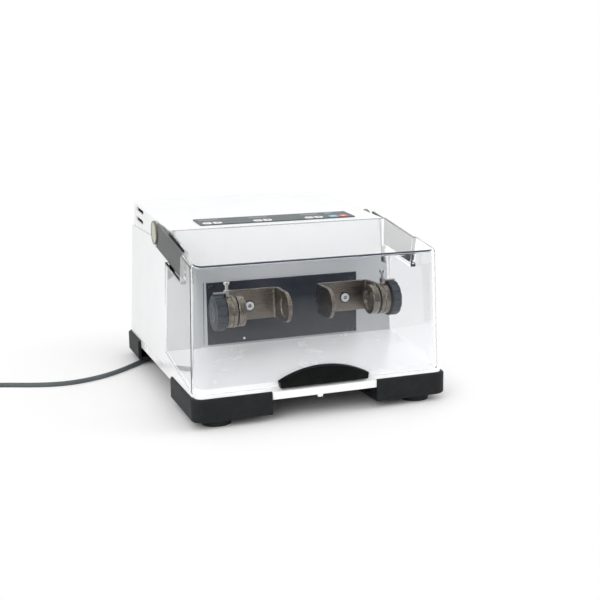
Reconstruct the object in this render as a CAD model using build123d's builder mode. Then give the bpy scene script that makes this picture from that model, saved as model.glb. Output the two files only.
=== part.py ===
"""A bench-top mixer mill with a see-through hood over two swinging jar holders.

Millimetres. X runs to the right as the user faces the mill, Y to the rear, Z up.
The origin is on the bench, under the middle of the mill.
"""

import os
from math import atan, atan2, cos, degrees, pi, radians, sin, tan

from build123d import *

os.makedirs("parts", exist_ok=True)

# ---------------------------------------------------------------- driving dimensions
WIDTH = 377.0  # over the bumpers
DEPTH = 461.0
HEIGHT = 266.0  # at the rear edge of the cover
SIDE = WIDTH / 2
FRONT = -DEPTH / 2
REAR = DEPTH / 2

GAP = 0.3  # between pieces that move past each other
RUN = 0.05  # radial clearance of a pin in its bore
SEAM = 0.3  # between two fixed panels

# base
FOOT_H = 9.8
FOOT_R = 22.0
FOOT_X = SIDE - 38.5
FOOT_Y_FRONT = FRONT + 30.5
FOOT_Y_REAR = REAR - 24.5
BUMPER_TOP = 42.2
BUMPER_WALL = 5.0
BUMPER_FLOOR = 4.0
BUMPER_R = 16.0
BUMPER_EDGE_R = 3.5
BUMPER_ACROSS = 110.7  # how far a bumper reaches in along the front and the rear
BUMPER_FRONT_END = SIDE - BUMPER_ACROSS
BUMPER_SIDE_FRONT = 132.0  # length along the side of the mill
BUMPER_SIDE_REAR = 96.0
TRAY_BOTTOM = 31.0
DECK_Z = 45.0  # the flat deck that carries the drive
FLOOR_FRONT_Z = 44.6  # the chamber floor slopes up from here
FLOOR_REAR_Z = 67.0
FLOOR_STEP = 6.5  # the floor inside the hood is raised by this at the front
FLOOR_STEP_REAR = 1.6
FLOOR_CORNER_R = 12.0
SHOULDER_HALF = SIDE - 3.0
SHOULDER_R = 15.0

# housing: half widths at two heights set the draft of the sides
HOUSING_FRONT = -53.0
HOUSING_REAR = REAR - 4.5
HOUSING_BOTTOM = DECK_Z + 0.4
SEAM_Z = 225.0
HALF_AT_BOTTOM = SIDE - 4.9
HALF_AT_SEAM = SIDE - 14.3
COVER_HALF_AT_SEAM = SIDE - 17.0
COVER_HALF_AT_TOP = SIDE - 19.8
HOUSING_WALL = 3.0
HOUSING_CORNER_R = 14.0
COVER_FRONT_Z = 246.9
COVER_EDGE_R = 3.0

# hood
HOOD_WALL = 3.4
HOOD_REAR = -54.0
HOOD_FRONT_BOTTOM = FRONT + 12.5
HOOD_FRONT_TOP = FRONT + 15.1
HOOD_HALF_BOTTOM = SIDE - 4.5
HOOD_HALF_TOP = SIDE - 9.2
HOOD_LOW_Z = 46.0
HOOD_HIGH_Z = 218.0  # top of the front face
HOOD_REAR_Z = 247.0
HOOD_CORNER_R = 15.0
HOOD_EDGE_R = 5.0

# hood hinge and arms
PIVOT_Y = 28.0
PIVOT_Z = 234.5
PIVOT_PIN_R = 5.0
PIN_FLANGE_R = 11.0
CAP_R = 17.5
CAP_T = 3.2
ARM_OUT = SIDE - 11.5  # outer face of an arm
ARM_T = 4.0
ARM_SLOPE = 9.3  # degrees below level
ARM_UPPER = 21.0  # above the line through the pivot
ARM_LOWER_REAR = 17.6
ARM_LOWER_FRONT = 14.3
ARM_REACH = 174.0  # from the pivot to the front end
ARM_CUT = (9.3, 4.4)  # middle of the hollow rear end of the arm, round the cap
ARM_CUT_R = 22.2
LUG_HALF = 13.0
LUG_T = 2.6
POCKET_FACE = SIDE - 18.8  # bottom of the pocket in the housing side
POCKET_R = CAP_R + 1.3
POCKET_BACK = LUG_HALF + 1.5  # room behind the pivot for the lug of an open hood
POCKET_BELOW = 1.0  # under an arm, in the housing
POCKET_MARGIN = 3.6  # round an arm, in the hood

# jar holders
JAR_Y = -158.0
JAR_Z = 143.0
HOLDER_R = 22.0
HOLDER_T = 5.0
PLATE_Y = -121.0  # front face of the holder's back plate
TONGUE_X = 30.0  # inner face towards the middle of the mill
OUTER_ARM_X = 108.5
BOSS_LENGTH = 8.5
BEND_R = 9.0
DISC_X = 95.5
DISC_T = 10.5
SPINDLE_R = 7.0
KNOB_R = 25.3
KNOB_T = 13.5
KNOB_GAP = 2.6
LOCK_PIN_R = 2.2

# drive
ROCKER_X = 74.0  # pivot shafts, arms and holder screws stand this far from the middle
ROCKER_Y = 12.0
SHAFT_R = 8.0
HUB_R = 16.0
ARM_HALF = 12.0
ARM_MID = JAR_Z - 8.0  # the arms stand lower than the jars, hidden by the brackets
ARM_HEIGHT = 22.0
PAD_T = 14.0  # block behind the bracket, tapped for the holder screw
TAIL = 44.0  # pivot shaft to the tail pin
TAIL_PIN_R = 4.0
SWING = 3.5  # degrees each way
ECCENTRICITY = TAIL * sin(radians(SWING))
ECCENTRIC_R = 7.0
ROD_T = 8.0
ROD_BORE_R = ECCENTRIC_R + 2 * ECCENTRICITY + 0.8
ROD_EYE_R = ROD_BORE_R + 5.0
FRAME_Z = 106.0
FRAME_T = 8.0
BRIDGE_Z = 172.0
BRIDGE_T = 6.0
MOTOR_R = 40.0
WINDOW_HALF = ARM_HALF + 8.0
WINDOW_HEIGHT = ARM_HEIGHT + 8.0
SLOT_PLATE_T = 2.0
PANEL_T = 3.0

# control panel on the cover
KEYPAD_X = (-119.0, 130.0)
KEYPAD_Y = (-33.0, 14.5)
KEYPAD_T = 1.4
KEY_ROW_Y = -23.5
KEY_SIZE = (13.6, 12.0)
KEY_X = (-106.8, -90.0, -27.4, -11.3, 55.8, 72.5)
COMMAND_KEY_SIZE = (13.4, 12.0)
COMMAND_KEY_X = (96.7, 113.0)
KEY_PROUD = 0.6

# mains side
CORD_D = 7.5
CORD_BEND_RUN = 50.0
INLET_X = -95.0
INLET_Z = CORD_D / 2 + 2 * CORD_BEND_RUN * sin(radians(60))
INLET_SIZE = (24.0, 16.4)
INLET_DEPTH = 15.0
FUSE_SIZE = (22.0, 8.0)
FUSE_DEPTH = 12.0
FUSE_DROP = 15.5  # inlet middle to fuse drawer middle
SWITCH_X = -45.0
BEZEL_SIZE = (17.0, 25.0)
SWITCH_PIVOT_R = 1.5
SWITCH_PIVOT_DEPTH = 5.0  # behind the face of the rear wall
FAN_X = 70.0
FAN_Z = 120.0
FAN_SIZE = 80.0
FAN_T = 25.0
CONNECTOR_END_Y = HOUSING_REAR + 29.0


# ---------------------------------------------------------------- shared forms
def save(piece, name):
    piece.part.label = name
    export_step(piece.part, f"parts/{name}.step")


def save_pair(piece, name):
    """Writes a right-hand piece and its mirror image."""
    save(piece, f"{name}_right")
    with BuildPart() as other:
        mirror(piece.part, about=Plane.YZ)
    save(other, f"{name}_left")


def lerp(a, b, t):
    return a + (b - a) * t


def housing_half(z):
    return lerp(HALF_AT_BOTTOM, HALF_AT_SEAM, (z - HOUSING_BOTTOM) / (SEAM_Z - HOUSING_BOTTOM))


def cover_half(z):
    return lerp(COVER_HALF_AT_SEAM, COVER_HALF_AT_TOP, (z - SEAM_Z) / (HEIGHT - SEAM_Z))


def hood_half(z):
    return lerp(HOOD_HALF_BOTTOM, HOOD_HALF_TOP, (z - HOOD_LOW_Z) / (HOOD_HIGH_Z - HOOD_LOW_Z))


def hood_front(z):
    return lerp(HOOD_FRONT_BOTTOM, HOOD_FRONT_TOP, (z - HOOD_LOW_Z) / (HOOD_HIGH_Z - HOOD_LOW_Z))


TRAY_FRONT = -DEPTH / 2 + BUMPER_WALL + GAP
TRAY_HALF = WIDTH / 2 - BUMPER_WALL - GAP
SLOPE_FRONT_Y = TRAY_FRONT + 8.0
FLOOR_SLOPE = (FLOOR_REAR_Z - FLOOR_FRONT_Z) / (HOUSING_FRONT - SLOPE_FRONT_Y)
COVER_SLOPE = (HEIGHT - COVER_FRONT_Z) / (HOUSING_REAR - 2.0 - HOUSING_FRONT)
HOOD_SLOPE = (HOOD_REAR_Z - HOOD_HIGH_Z) / (HOOD_REAR - HOOD_FRONT_TOP)


def floor_z(y):
    return FLOOR_FRONT_Z + FLOOR_SLOPE * (y - SLOPE_FRONT_Y)


def cover_z(y):
    return COVER_FRONT_Z + COVER_SLOPE * (y - HOUSING_FRONT)


def hood_z(y):
    return HOOD_REAR_Z + HOOD_SLOPE * (y - HOOD_REAR)


def draft_box(levels):
    """A solid with rounded upright corners through (z, half, y_front, y_rear, radius) levels."""
    with BuildPart() as box:
        for z, half, y_front, y_rear, radius in levels:
            with BuildSketch(Plane.XY.offset(z)):
                with Locations((0, (y_front + y_rear) / 2)):
                    RectangleRounded(2 * half, y_rear - y_front, radius)
        loft(ruled=True)
    return box.part


# the hinge plane: u runs forward along the arm, v square to it, both from the pivot
def hinge_plane(x):
    slope = radians(ARM_SLOPE)
    return Plane(
        origin=(x, PIVOT_Y, PIVOT_Z),
        x_dir=(0, -cos(slope), -sin(slope)),
        z_dir=(-1, 0, 0),
    )


def arm_pocket(x_face, below, margin):
    """The space round an arm, from x_face outwards, with a gap below it, widened by margin."""
    pocket_end = ARM_REACH + POCKET_MARGIN + margin
    with BuildPart() as pocket:
        with BuildSketch(hinge_plane(x_face + 40)):
            Circle(POCKET_R + margin)
            Polygon(
                (-POCKET_BACK - margin, 0),
                (-POCKET_BACK - margin, 60),
                (pocket_end, 60),
                (pocket_end, -ARM_LOWER_FRONT - below - margin),
                (0, -ARM_LOWER_REAR - below - margin),
                (0, 0),
                align=None,
            )
        extrude(amount=40)
        mirror(about=Plane.YZ)
    return pocket.part


# ---------------------------------------------------------------- base
with BuildPart() as raised_floor:
    inner_half = HOOD_HALF_BOTTOM - HOOD_WALL - 2.0
    inner_front = HOOD_FRONT_BOTTOM + HOOD_WALL + 2.0
    inner_rear = HOUSING_FRONT - SEAM
    with BuildSketch(Plane.YZ.offset(-inner_half)):
        Polygon(
            (inner_front, floor_z(inner_front) - 1.0),
            (inner_front, floor_z(inner_front) + FLOOR_STEP),
            (inner_rear, floor_z(inner_rear) + FLOOR_STEP_REAR),
            (inner_rear, floor_z(inner_rear) - 1.0),
            align=None,
        )
    extrude(amount=2 * inner_half)
    fillet(raised_floor.edges().filter_by(Axis.Z).sort_by(Axis.Y)[0:2], FLOOR_CORNER_R)

with BuildPart() as shoulder:
    # the wide shoulder above the bumpers that the hood closes on
    shoulder_front = HOOD_FRONT_BOTTOM - 3.0
    lip_part = (shoulder_front - TRAY_FRONT) / (SLOPE_FRONT_Y - TRAY_FRONT)
    with BuildSketch(Plane.YZ.offset(-SHOULDER_HALF)):
        Polygon(
            (shoulder_front, BUMPER_TOP + GAP),
            (shoulder_front, lerp(BUMPER_TOP, FLOOR_FRONT_Z, lip_part)),
            (SLOPE_FRONT_Y, FLOOR_FRONT_Z),
            (HOUSING_FRONT - SEAM, floor_z(HOUSING_FRONT)),
            (HOUSING_FRONT - SEAM, BUMPER_TOP + GAP),
            align=None,
        )
    extrude(amount=2 * SHOULDER_HALF)
    fillet(shoulder.edges().filter_by(Axis.Z).sort_by(Axis.Y)[0:2], SHOULDER_R)

with BuildPart() as base_tray:
    # one lengthwise section: front lip, sloping chamber floor, flat deck for the drive
    with BuildSketch(Plane.YZ.offset(-TRAY_HALF)):
        Polygon(
            (TRAY_FRONT, TRAY_BOTTOM),
            (TRAY_FRONT, BUMPER_TOP),
            (SLOPE_FRONT_Y, FLOOR_FRONT_Z),
            (HOUSING_FRONT - SEAM, floor_z(HOUSING_FRONT)),
            (HOUSING_FRONT - SEAM, DECK_Z),
            (-TRAY_FRONT, DECK_Z),
            (-TRAY_FRONT, TRAY_BOTTOM),
            align=None,
        )
    extrude(amount=2 * TRAY_HALF)
    with BuildSketch(Plane.XY):
        RectangleRounded(2 * TRAY_HALF, -2 * TRAY_FRONT, BUMPER_R - BUMPER_WALL)
    extrude(amount=HEIGHT, mode=Mode.INTERSECT)
    add(shoulder.part)
    add(raised_floor.part)
    # front lip between the bumpers
    with BuildSketch(Plane.XY.offset(TRAY_BOTTOM)):
        with Locations((0, TRAY_FRONT - 0.5)):
            Rectangle(2 * (BUMPER_FRONT_END - GAP), 5.0)
    extrude(amount=BUMPER_TOP - TRAY_BOTTOM - 0.4)
    # small stop under the lip
    with BuildSketch(Plane.XY.offset(TRAY_BOTTOM + 1.0)):
        with Locations((-7.5, TRAY_FRONT)):
            Rectangle(7.2, 6.0)
    extrude(amount=-4.5)
save(base_tray, "base_tray")


def bumper(y_sign, side_length, foot_y):
    """A corner bumper on the right; its floor carries a foot and stands under the tray."""
    with BuildPart() as piece:
        with BuildSketch(Plane.XY.offset(FOOT_H)):
            RectangleRounded(WIDTH, DEPTH, BUMPER_R)
        extrude(amount=BUMPER_TOP - FOOT_H)
        fillet(piece.faces().sort_by(Axis.Z)[-1].edges(), BUMPER_EDGE_R)
        fillet(piece.faces().sort_by(Axis.Z)[0].edges(), BUMPER_EDGE_R)
        with BuildSketch(Plane.XY.offset(FOOT_H + BUMPER_FLOOR)):
            RectangleRounded(WIDTH - 2 * BUMPER_WALL, DEPTH - 2 * BUMPER_WALL, BUMPER_R - BUMPER_WALL)
        extrude(amount=BUMPER_TOP, mode=Mode.SUBTRACT)
        across = WIDTH / 2 - BUMPER_FRONT_END
        with BuildSketch(Plane.XY):
            with Locations((BUMPER_FRONT_END + across / 2, y_sign * (DEPTH - side_length) / 2)):
                Rectangle(across + 0.01, side_length)
        extrude(amount=HEIGHT, mode=Mode.INTERSECT)
        # a boss over the foot bears on the tray
        with BuildSketch(Plane.XY.offset(FOOT_H + BUMPER_FLOOR - 1)):
            with Locations((FOOT_X, foot_y)):
                Circle(12.0)
        extrude(amount=TRAY_BOTTOM - FOOT_H - BUMPER_FLOOR + 1)
    return piece


save_pair(bumper(-1, BUMPER_SIDE_FRONT, FOOT_Y_FRONT), "bumper_front")
save_pair(bumper(1, BUMPER_SIDE_REAR, FOOT_Y_REAR), "bumper_rear")

with BuildPart() as feet:
    for foot_x in (-FOOT_X, FOOT_X):
        for foot_y in (FOOT_Y_FRONT, FOOT_Y_REAR):
            with BuildSketch(Plane.XY):
                with Locations((foot_x, foot_y)):
                    Circle(FOOT_R - 1.5)
            with BuildSketch(Plane.XY.offset(FOOT_H)):
                with Locations((foot_x, foot_y)):
                    Circle(FOOT_R)
            loft()
save(feet, "feet")

# ---------------------------------------------------------------- housing
hidden_front = HOUSING_FRONT - 40.0  # the rounded front corners fall away here
housing_block = draft_box(
    [
        (HOUSING_BOTTOM, housing_half(HOUSING_BOTTOM), hidden_front, HOUSING_REAR, HOUSING_CORNER_R),
        (SEAM_Z, housing_half(SEAM_Z), hidden_front, HOUSING_REAR - 1.0, HOUSING_CORNER_R),
    ]
)
inner_r = HOUSING_CORNER_R - HOUSING_WALL
housing_core = draft_box(
    [
        (
            HOUSING_BOTTOM - 1,
            housing_half(HOUSING_BOTTOM - 1) - HOUSING_WALL,
            hidden_front,
            HOUSING_REAR - HOUSING_WALL,
            inner_r,
        ),
        (
            SEAM_Z + 1,
            housing_half(SEAM_Z + 1) - HOUSING_WALL,
            hidden_front,
            HOUSING_REAR - 1.0 - HOUSING_WALL,
            inner_r,
        ),
    ]
)
pocket = arm_pocket(POCKET_FACE, POCKET_BELOW, 0)
pocket_wall = arm_pocket(POCKET_FACE - HOUSING_WALL, POCKET_BELOW, HOUSING_WALL)

with BuildPart() as housing_cavity:
    add(housing_core)
    add(pocket_wall, mode=Mode.SUBTRACT)

with BuildPart() as housing_shell:
    add(housing_block)
    add(pocket, mode=Mode.SUBTRACT)
    add(housing_cavity.part, mode=Mode.SUBTRACT)
    with BuildSketch(Plane.XY):
        with Locations((0, HOUSING_FRONT - 100)):
            Rectangle(2 * WIDTH, 200)
    extrude(amount=2 * HEIGHT, mode=Mode.SUBTRACT)
    # mains inlet, switch and fan openings in the rear wall
    with BuildSketch(Plane.XZ.offset(-HOUSING_REAR - 5)):
        with Locations((INLET_X, INLET_Z)):
            Rectangle(INLET_SIZE[0] + 5.0, INLET_SIZE[1] + 5.0)
        with Locations((INLET_X, INLET_Z - FUSE_DROP)):
            Rectangle(INLET_SIZE[0] + 5.0, FUSE_SIZE[1] + 8.0)
        with Locations((SWITCH_X, INLET_Z)):
            Rectangle(BEZEL_SIZE[0] + 0.6, BEZEL_SIZE[1] + 0.6)
        with Locations((FAN_X, FAN_Z)):
            with GridLocations(0, 9.0, 1, 8):
                SlotOverall(FAN_SIZE - 8.0, 4.5)
    extrude(amount=20, mode=Mode.SUBTRACT)
save(housing_shell, "housing_shell")

cover_top = 2 * HEIGHT
COVER_BOTTOM = SEAM_Z + SEAM
cover_block = draft_box(
    [
        (COVER_BOTTOM, cover_half(COVER_BOTTOM), hidden_front, HOUSING_REAR - 2.0, HOUSING_CORNER_R),
        (HEIGHT + 10, cover_half(HEIGHT + 10), hidden_front, HOUSING_REAR - 2.0, HOUSING_CORNER_R),
    ]
)
cover_core = draft_box(
    [
        (
            COVER_BOTTOM - 1,
            cover_half(COVER_BOTTOM - 1) - HOUSING_WALL,
            hidden_front,
            HOUSING_REAR - 2.0 - HOUSING_WALL,
            inner_r,
        ),
        (
            HEIGHT + 10,
            cover_half(HEIGHT + 10) - HOUSING_WALL,
            hidden_front,
            HOUSING_REAR - 2.0 - HOUSING_WALL,
            inner_r,
        ),
    ]
)


def above_cover(drop):
    """Everything above the sloping top, lowered by drop."""
    with BuildPart() as waste:
        with BuildSketch(Plane.YZ.offset(-WIDTH)):
            Polygon(
                (-DEPTH, cover_z(-DEPTH) - drop),
                (DEPTH, cover_z(DEPTH) - drop),
                (DEPTH, cover_top),
                (-DEPTH, cover_top),
                align=None,
            )
        extrude(amount=2 * WIDTH)
    return waste.part


with BuildPart() as cover_cavity:
    add(cover_core)
    add(above_cover(HOUSING_WALL), mode=Mode.SUBTRACT)
    add(pocket_wall, mode=Mode.SUBTRACT)

with BuildPart() as top_cover:
    add(cover_block)
    add(above_cover(0), mode=Mode.SUBTRACT)
    fillet(top_cover.faces().sort_by(Axis.Z)[-1].edges(), COVER_EDGE_R)
    add(pocket, mode=Mode.SUBTRACT)
    add(cover_cavity.part, mode=Mode.SUBTRACT)
    with BuildSketch(Plane.XY):
        with Locations((0, HOUSING_FRONT - 100)):
            Rectangle(2 * WIDTH, 200)
    extrude(amount=2 * HEIGHT, mode=Mode.SUBTRACT)
    # two vent slots high on each side, along the slope of the top
    with BuildSketch(Plane.YZ.offset(-WIDTH / 2)):
        for drop in (8.0, 23.8):
            with Locations((165.0, cover_z(165.0) - drop)):
                SlotOverall(56.0, 6.4, rotation=degrees(atan(COVER_SLOPE)))
    extrude(amount=WIDTH, mode=Mode.SUBTRACT)
    # one window under the keypad for all the keys
    with BuildSketch(Plane.XY.offset(COVER_FRONT_Z - 10)):
        with Locations(((KEYPAD_X[0] + KEYPAD_X[1]) / 2, KEY_ROW_Y)):
            Rectangle(KEYPAD_X[1] - KEYPAD_X[0] - 8.0, KEY_SIZE[1] + 2.0)
    extrude(amount=40, mode=Mode.SUBTRACT)
    # the hinge pins sit in the side walls
    with BuildSketch(Plane.YZ.offset(-WIDTH / 2)):
        with Locations((PIVOT_Y, PIVOT_Z)):
            Circle(PIVOT_PIN_R + RUN)
    extrude(amount=WIDTH, mode=Mode.SUBTRACT)
save(top_cover, "top_cover")

# ---------------------------------------------------------------- chamber wall
PANEL_TOP = COVER_FRONT_Z - HOUSING_WALL - SEAM
with BuildPart() as back_panel:
    with BuildSketch(Plane.XZ.offset(-HOUSING_FRONT - PANEL_T)):
        with BuildLine():
            low = housing_half(DECK_Z) - HOUSING_WALL - SEAM
            bend = housing_half(PIVOT_Z - 60) - HOUSING_WALL - SEAM
            high = POCKET_FACE - HOUSING_WALL - SEAM - 1.5
            Polyline(
                (-low, DECK_Z),
                (low, DECK_Z),
                (bend, PIVOT_Z - 60),
                (high, PIVOT_Z - 55),
                (high - 3.0, PANEL_TOP),
                (-high + 3.0, PANEL_TOP),
                (-high, PIVOT_Z - 55),
                (-bend, PIVOT_Z - 60),
                close=True,
            )
        make_face()
        with Locations((-ROCKER_X, ARM_MID), (ROCKER_X, ARM_MID)):
            Rectangle(2 * WINDOW_HALF + 4, WINDOW_HEIGHT + 4, mode=Mode.SUBTRACT)
    extrude(amount=PANEL_T)
save(back_panel, "back_panel")

with BuildPart() as slot_plate:
    with BuildSketch(Plane.XZ.offset(-HOUSING_FRONT)):
        with Locations((0.5, 119.0)):
            Rectangle(241.0, 94.0)
        with Locations((-ROCKER_X, ARM_MID), (ROCKER_X, ARM_MID)):
            RectangleRounded(2 * WINDOW_HALF, WINDOW_HEIGHT, 4.0, mode=Mode.SUBTRACT)
    extrude(amount=SLOT_PLATE_T)
save(slot_plate, "slot_plate")

# ---------------------------------------------------------------- hood
hood_outer_levels = []
hood_inner_levels = []
for z in (HOOD_LOW_Z - 10, HOOD_REAR_Z + 20):
    hood_outer_levels.append((z, hood_half(z), hood_front(z), 0.0, HOOD_CORNER_R))
    hood_inner_levels.append(
        (z, hood_half(z) - HOOD_WALL, hood_front(z) + HOOD_WALL, 10.0, HOOD_CORNER_R - HOOD_WALL)
    )


def above_hood(drop):
    with BuildPart() as waste:
        with BuildSketch(Plane.YZ.offset(-WIDTH)):
            Polygon(
                (-DEPTH, hood_z(-DEPTH) - drop),
                (DEPTH, hood_z(DEPTH) - drop),
                (DEPTH, 2 * HEIGHT),
                (-DEPTH, 2 * HEIGHT),
                align=None,
            )
        extrude(amount=2 * WIDTH)
    return waste.part


hood_pocket = arm_pocket(POCKET_FACE + 2.4, POCKET_MARGIN, 0)
hood_pocket_wall = arm_pocket(POCKET_FACE + 2.4 - HOOD_WALL, POCKET_MARGIN, HOOD_WALL)

with BuildPart() as hood_cavity:
    add(draft_box(hood_inner_levels))
    add(above_hood(HOOD_WALL), mode=Mode.SUBTRACT)
    fillet(hood_cavity.faces().sort_by(Axis.Z)[-1].edges(), HOOD_EDGE_R - HOOD_WALL)
    add(hood_pocket_wall, mode=Mode.SUBTRACT)

with BuildPart() as hood:
    add(draft_box(hood_outer_levels))
    add(above_hood(0), mode=Mode.SUBTRACT)
    fillet(hood.faces().sort_by(Axis.Z)[-1].edges(), HOOD_EDGE_R)
    add(hood_pocket, mode=Mode.SUBTRACT)
    add(hood_cavity.part, mode=Mode.SUBTRACT)
    # open rear
    with BuildSketch(Plane.XY):
        with Locations((0, HOOD_REAR + 100)):
            Rectangle(2 * WIDTH, 200)
    extrude(amount=2 * HEIGHT, mode=Mode.SUBTRACT)
    # lower edge, parallel to the sloping floor
    with BuildSketch(Plane.YZ.offset(-WIDTH)):
        Polygon(
            (-DEPTH, floor_z(-DEPTH) + GAP),
            (DEPTH, floor_z(DEPTH) + GAP),
            (DEPTH, -HEIGHT),
            (-DEPTH, -HEIGHT),
            align=None,
        )
    extrude(amount=2 * WIDTH, mode=Mode.SUBTRACT)
save(hood, "hood")

GRIP_HALF = 66.0
GRIP_BOTTOM = FLOOR_FRONT_Z + 0.6
GRIP_RISE = 25.5
GRIP_END = 9.0
GRIP_FRONT = -DEPTH / 2 + 1.0
with BuildPart() as hood_grip:
    grip_back = hood_front(GRIP_BOTTOM + GRIP_RISE)
    with BuildSketch(Plane.XZ.offset(-grip_back - 2.0)):
        with BuildLine():
            Polyline(
                (-GRIP_HALF, GRIP_BOTTOM + GRIP_END),
                (-GRIP_HALF + 1.5, GRIP_BOTTOM),
                (GRIP_HALF - 1.5, GRIP_BOTTOM),
                (GRIP_HALF, GRIP_BOTTOM + GRIP_END),
            )
            ThreePointArc(
                (GRIP_HALF, GRIP_BOTTOM + GRIP_END),
                (0, GRIP_BOTTOM + GRIP_RISE),
                (-GRIP_HALF, GRIP_BOTTOM + GRIP_END),
            )
        make_face()
    extrude(amount=grip_back + 2.0 - GRIP_FRONT)
    fillet(hood_grip.faces().sort_by(Axis.Y)[0].edges(), 2.5)
    # finger pull, open below
    with BuildSketch(Plane.XY.offset(GRIP_BOTTOM)):
        with Locations((0, GRIP_FRONT + 5.4)):
            Rectangle(2 * GRIP_HALF - 20.0, 5.0)
    extrude(amount=GRIP_END + 1, mode=Mode.SUBTRACT)
    # the back follows the hood's front face
    with BuildSketch(Plane.YZ.offset(-WIDTH)):
        Polygon(
            (hood_front(0) - 0.05, 0),
            (hood_front(HEIGHT) - 0.05, HEIGHT),
            (0, HEIGHT),
            (0, 0),
            align=None,
        )
    extrude(amount=2 * WIDTH, mode=Mode.SUBTRACT)
save(hood_grip, "hood_grip")

# arms lie in pockets of the hood and the housing
ARM_BORE_R = PIVOT_PIN_R + RUN
with BuildPart() as arm_right:
    with BuildSketch(hinge_plane(ARM_OUT)):
        with BuildLine():
            Polyline(
                (ARM_CUT[0], ARM_UPPER),
                (ARM_REACH + 2.0, ARM_UPPER),
                (ARM_REACH - 2.0, -ARM_LOWER_FRONT),
                (ARM_CUT[0], -ARM_LOWER_REAR),
                close=True,
            )
        make_face()
        with Locations(ARM_CUT):
            Circle(ARM_CUT_R, mode=Mode.SUBTRACT)
    extrude(amount=ARM_T)
    fillet(arm_right.edges().filter_by(Axis.X).sort_by(Axis.Y)[0:2], 2.0)
    # a thin lug reaches under the cap to the pin
    with BuildSketch(hinge_plane(ARM_OUT - ARM_T)):
        Circle(LUG_HALF)
        with Locations((30, 0)):
            Rectangle(60, 2 * LUG_HALF)
    extrude(amount=LUG_T)
    with BuildSketch(hinge_plane(ARM_OUT)):
        Circle(ARM_BORE_R)
    extrude(amount=20, mode=Mode.SUBTRACT)
save_pair(arm_right, "hood_arm")

with BuildPart() as hinge_pins:
    for side in (-1, 1):
        base = min(POCKET_FACE, cover_half(PIVOT_Z + PIN_FLANGE_R)) - HOUSING_WALL
        for x0, x1, r in (
            (base - 4.0, base - 0.1, PIN_FLANGE_R),
            (base - 0.1, ARM_OUT - 1.0, PIVOT_PIN_R),
        ):
            plane = Plane((side * x0, PIVOT_Y, PIVOT_Z), x_dir=(0, 1, 0), z_dir=(side, 0, 0))
            with BuildSketch(plane):
                Circle(r)
            extrude(amount=x1 - x0)
save(hinge_pins, "hinge_pins")

with BuildPart() as cap_right:
    with BuildSketch(hinge_plane(ARM_OUT)):
        Circle(CAP_R)
    extrude(amount=CAP_T)
    fillet(cap_right.faces().sort_by(Axis.X)[-1].edges(), 1.0)
    with BuildSketch(hinge_plane(ARM_OUT - 1.0)):
        Circle(PIVOT_PIN_R + RUN)
    extrude(amount=CAP_T, mode=Mode.SUBTRACT)
save_pair(cap_right, "pivot_cap")


# ---------------------------------------------------------------- jar holders
def across(x):
    """A plane square to the jar axis, (y, z) from the axis, pushing outwards."""
    return Plane((x, JAR_Y, JAR_Z), x_dir=(0, 1, 0), z_dir=(1, 0, 0))


PLATE_REACH = PLATE_Y - JAR_Y  # from the jar axis back to the plate's front face
with BuildPart() as bracket_right:
    # a strip bent twice, as seen from above
    with BuildSketch(Plane.XY.offset(JAR_Z - HOLDER_R)):
        with BuildLine():
            FilletPolyline(
                (TONGUE_X, JAR_Y - HOLDER_R),
                (TONGUE_X, PLATE_Y + HOLDER_T),
                (OUTER_ARM_X + HOLDER_T, PLATE_Y + HOLDER_T),
                (OUTER_ARM_X + HOLDER_T, JAR_Y - HOLDER_R),
                radius=BEND_R,
            )
            Line((OUTER_ARM_X + HOLDER_T, JAR_Y - HOLDER_R), (OUTER_ARM_X, JAR_Y - HOLDER_R))
            FilletPolyline(
                (OUTER_ARM_X, JAR_Y - HOLDER_R),
                (OUTER_ARM_X, PLATE_Y),
                (TONGUE_X + HOLDER_T, PLATE_Y),
                (TONGUE_X + HOLDER_T, JAR_Y - HOLDER_R),
                radius=BEND_R - HOLDER_T,
            )
            Line((TONGUE_X + HOLDER_T, JAR_Y - HOLDER_R), (TONGUE_X, JAR_Y - HOLDER_R))
        make_face()
    extrude(amount=2 * HOLDER_R)
    # both tongues are round at the front
    with BuildSketch(across(TONGUE_X - 1)):
        Circle(HOLDER_R)
        with Locations((PLATE_REACH / 2 + 5, 0)):
            Rectangle(PLATE_REACH + 10, 2 * HOLDER_R)
    extrude(amount=OUTER_ARM_X - TONGUE_X + 2 * HOLDER_T, mode=Mode.INTERSECT)
    # clamp housing on the outer tongue
    with BuildSketch(across(OUTER_ARM_X + HOLDER_T - 0.5)):
        Circle(HOLDER_R - 1.6)
    extrude(amount=2.0)
    with BuildSketch(across(OUTER_ARM_X + HOLDER_T + 1.5)):
        Circle(HOLDER_R)
    extrude(amount=BOSS_LENGTH - 1.5)
    with BuildSketch(across(OUTER_ARM_X - 1)):
        Circle(SPINDLE_R + RUN)
    extrude(amount=HOLDER_T + BOSS_LENGTH + 2, mode=Mode.SUBTRACT)
    # seat for the jar's round end
    with BuildSketch(across(TONGUE_X + HOLDER_T - 1.2)):
        Circle(14.0)
    extrude(amount=5, mode=Mode.SUBTRACT)
    # hole for the screw to the arm, and the pin's hole down through the clamp housing
    with BuildSketch(Plane.XZ.offset(-PLATE_Y - HOLDER_T - 1)):
        with Locations((ROCKER_X, JAR_Z - 2)):
            Circle(5.0)
    extrude(amount=HOLDER_T + 2, mode=Mode.SUBTRACT)
    pin_x = OUTER_ARM_X + HOLDER_T + BOSS_LENGTH - 4.0
    with BuildSketch(Plane.XY.offset(JAR_Z + SPINDLE_R + 4.0)):
        with Locations((pin_x, JAR_Y)):
            Circle(LOCK_PIN_R + RUN)
    extrude(amount=HOLDER_R, mode=Mode.SUBTRACT)
save_pair(bracket_right, "holder_bracket")

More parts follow.
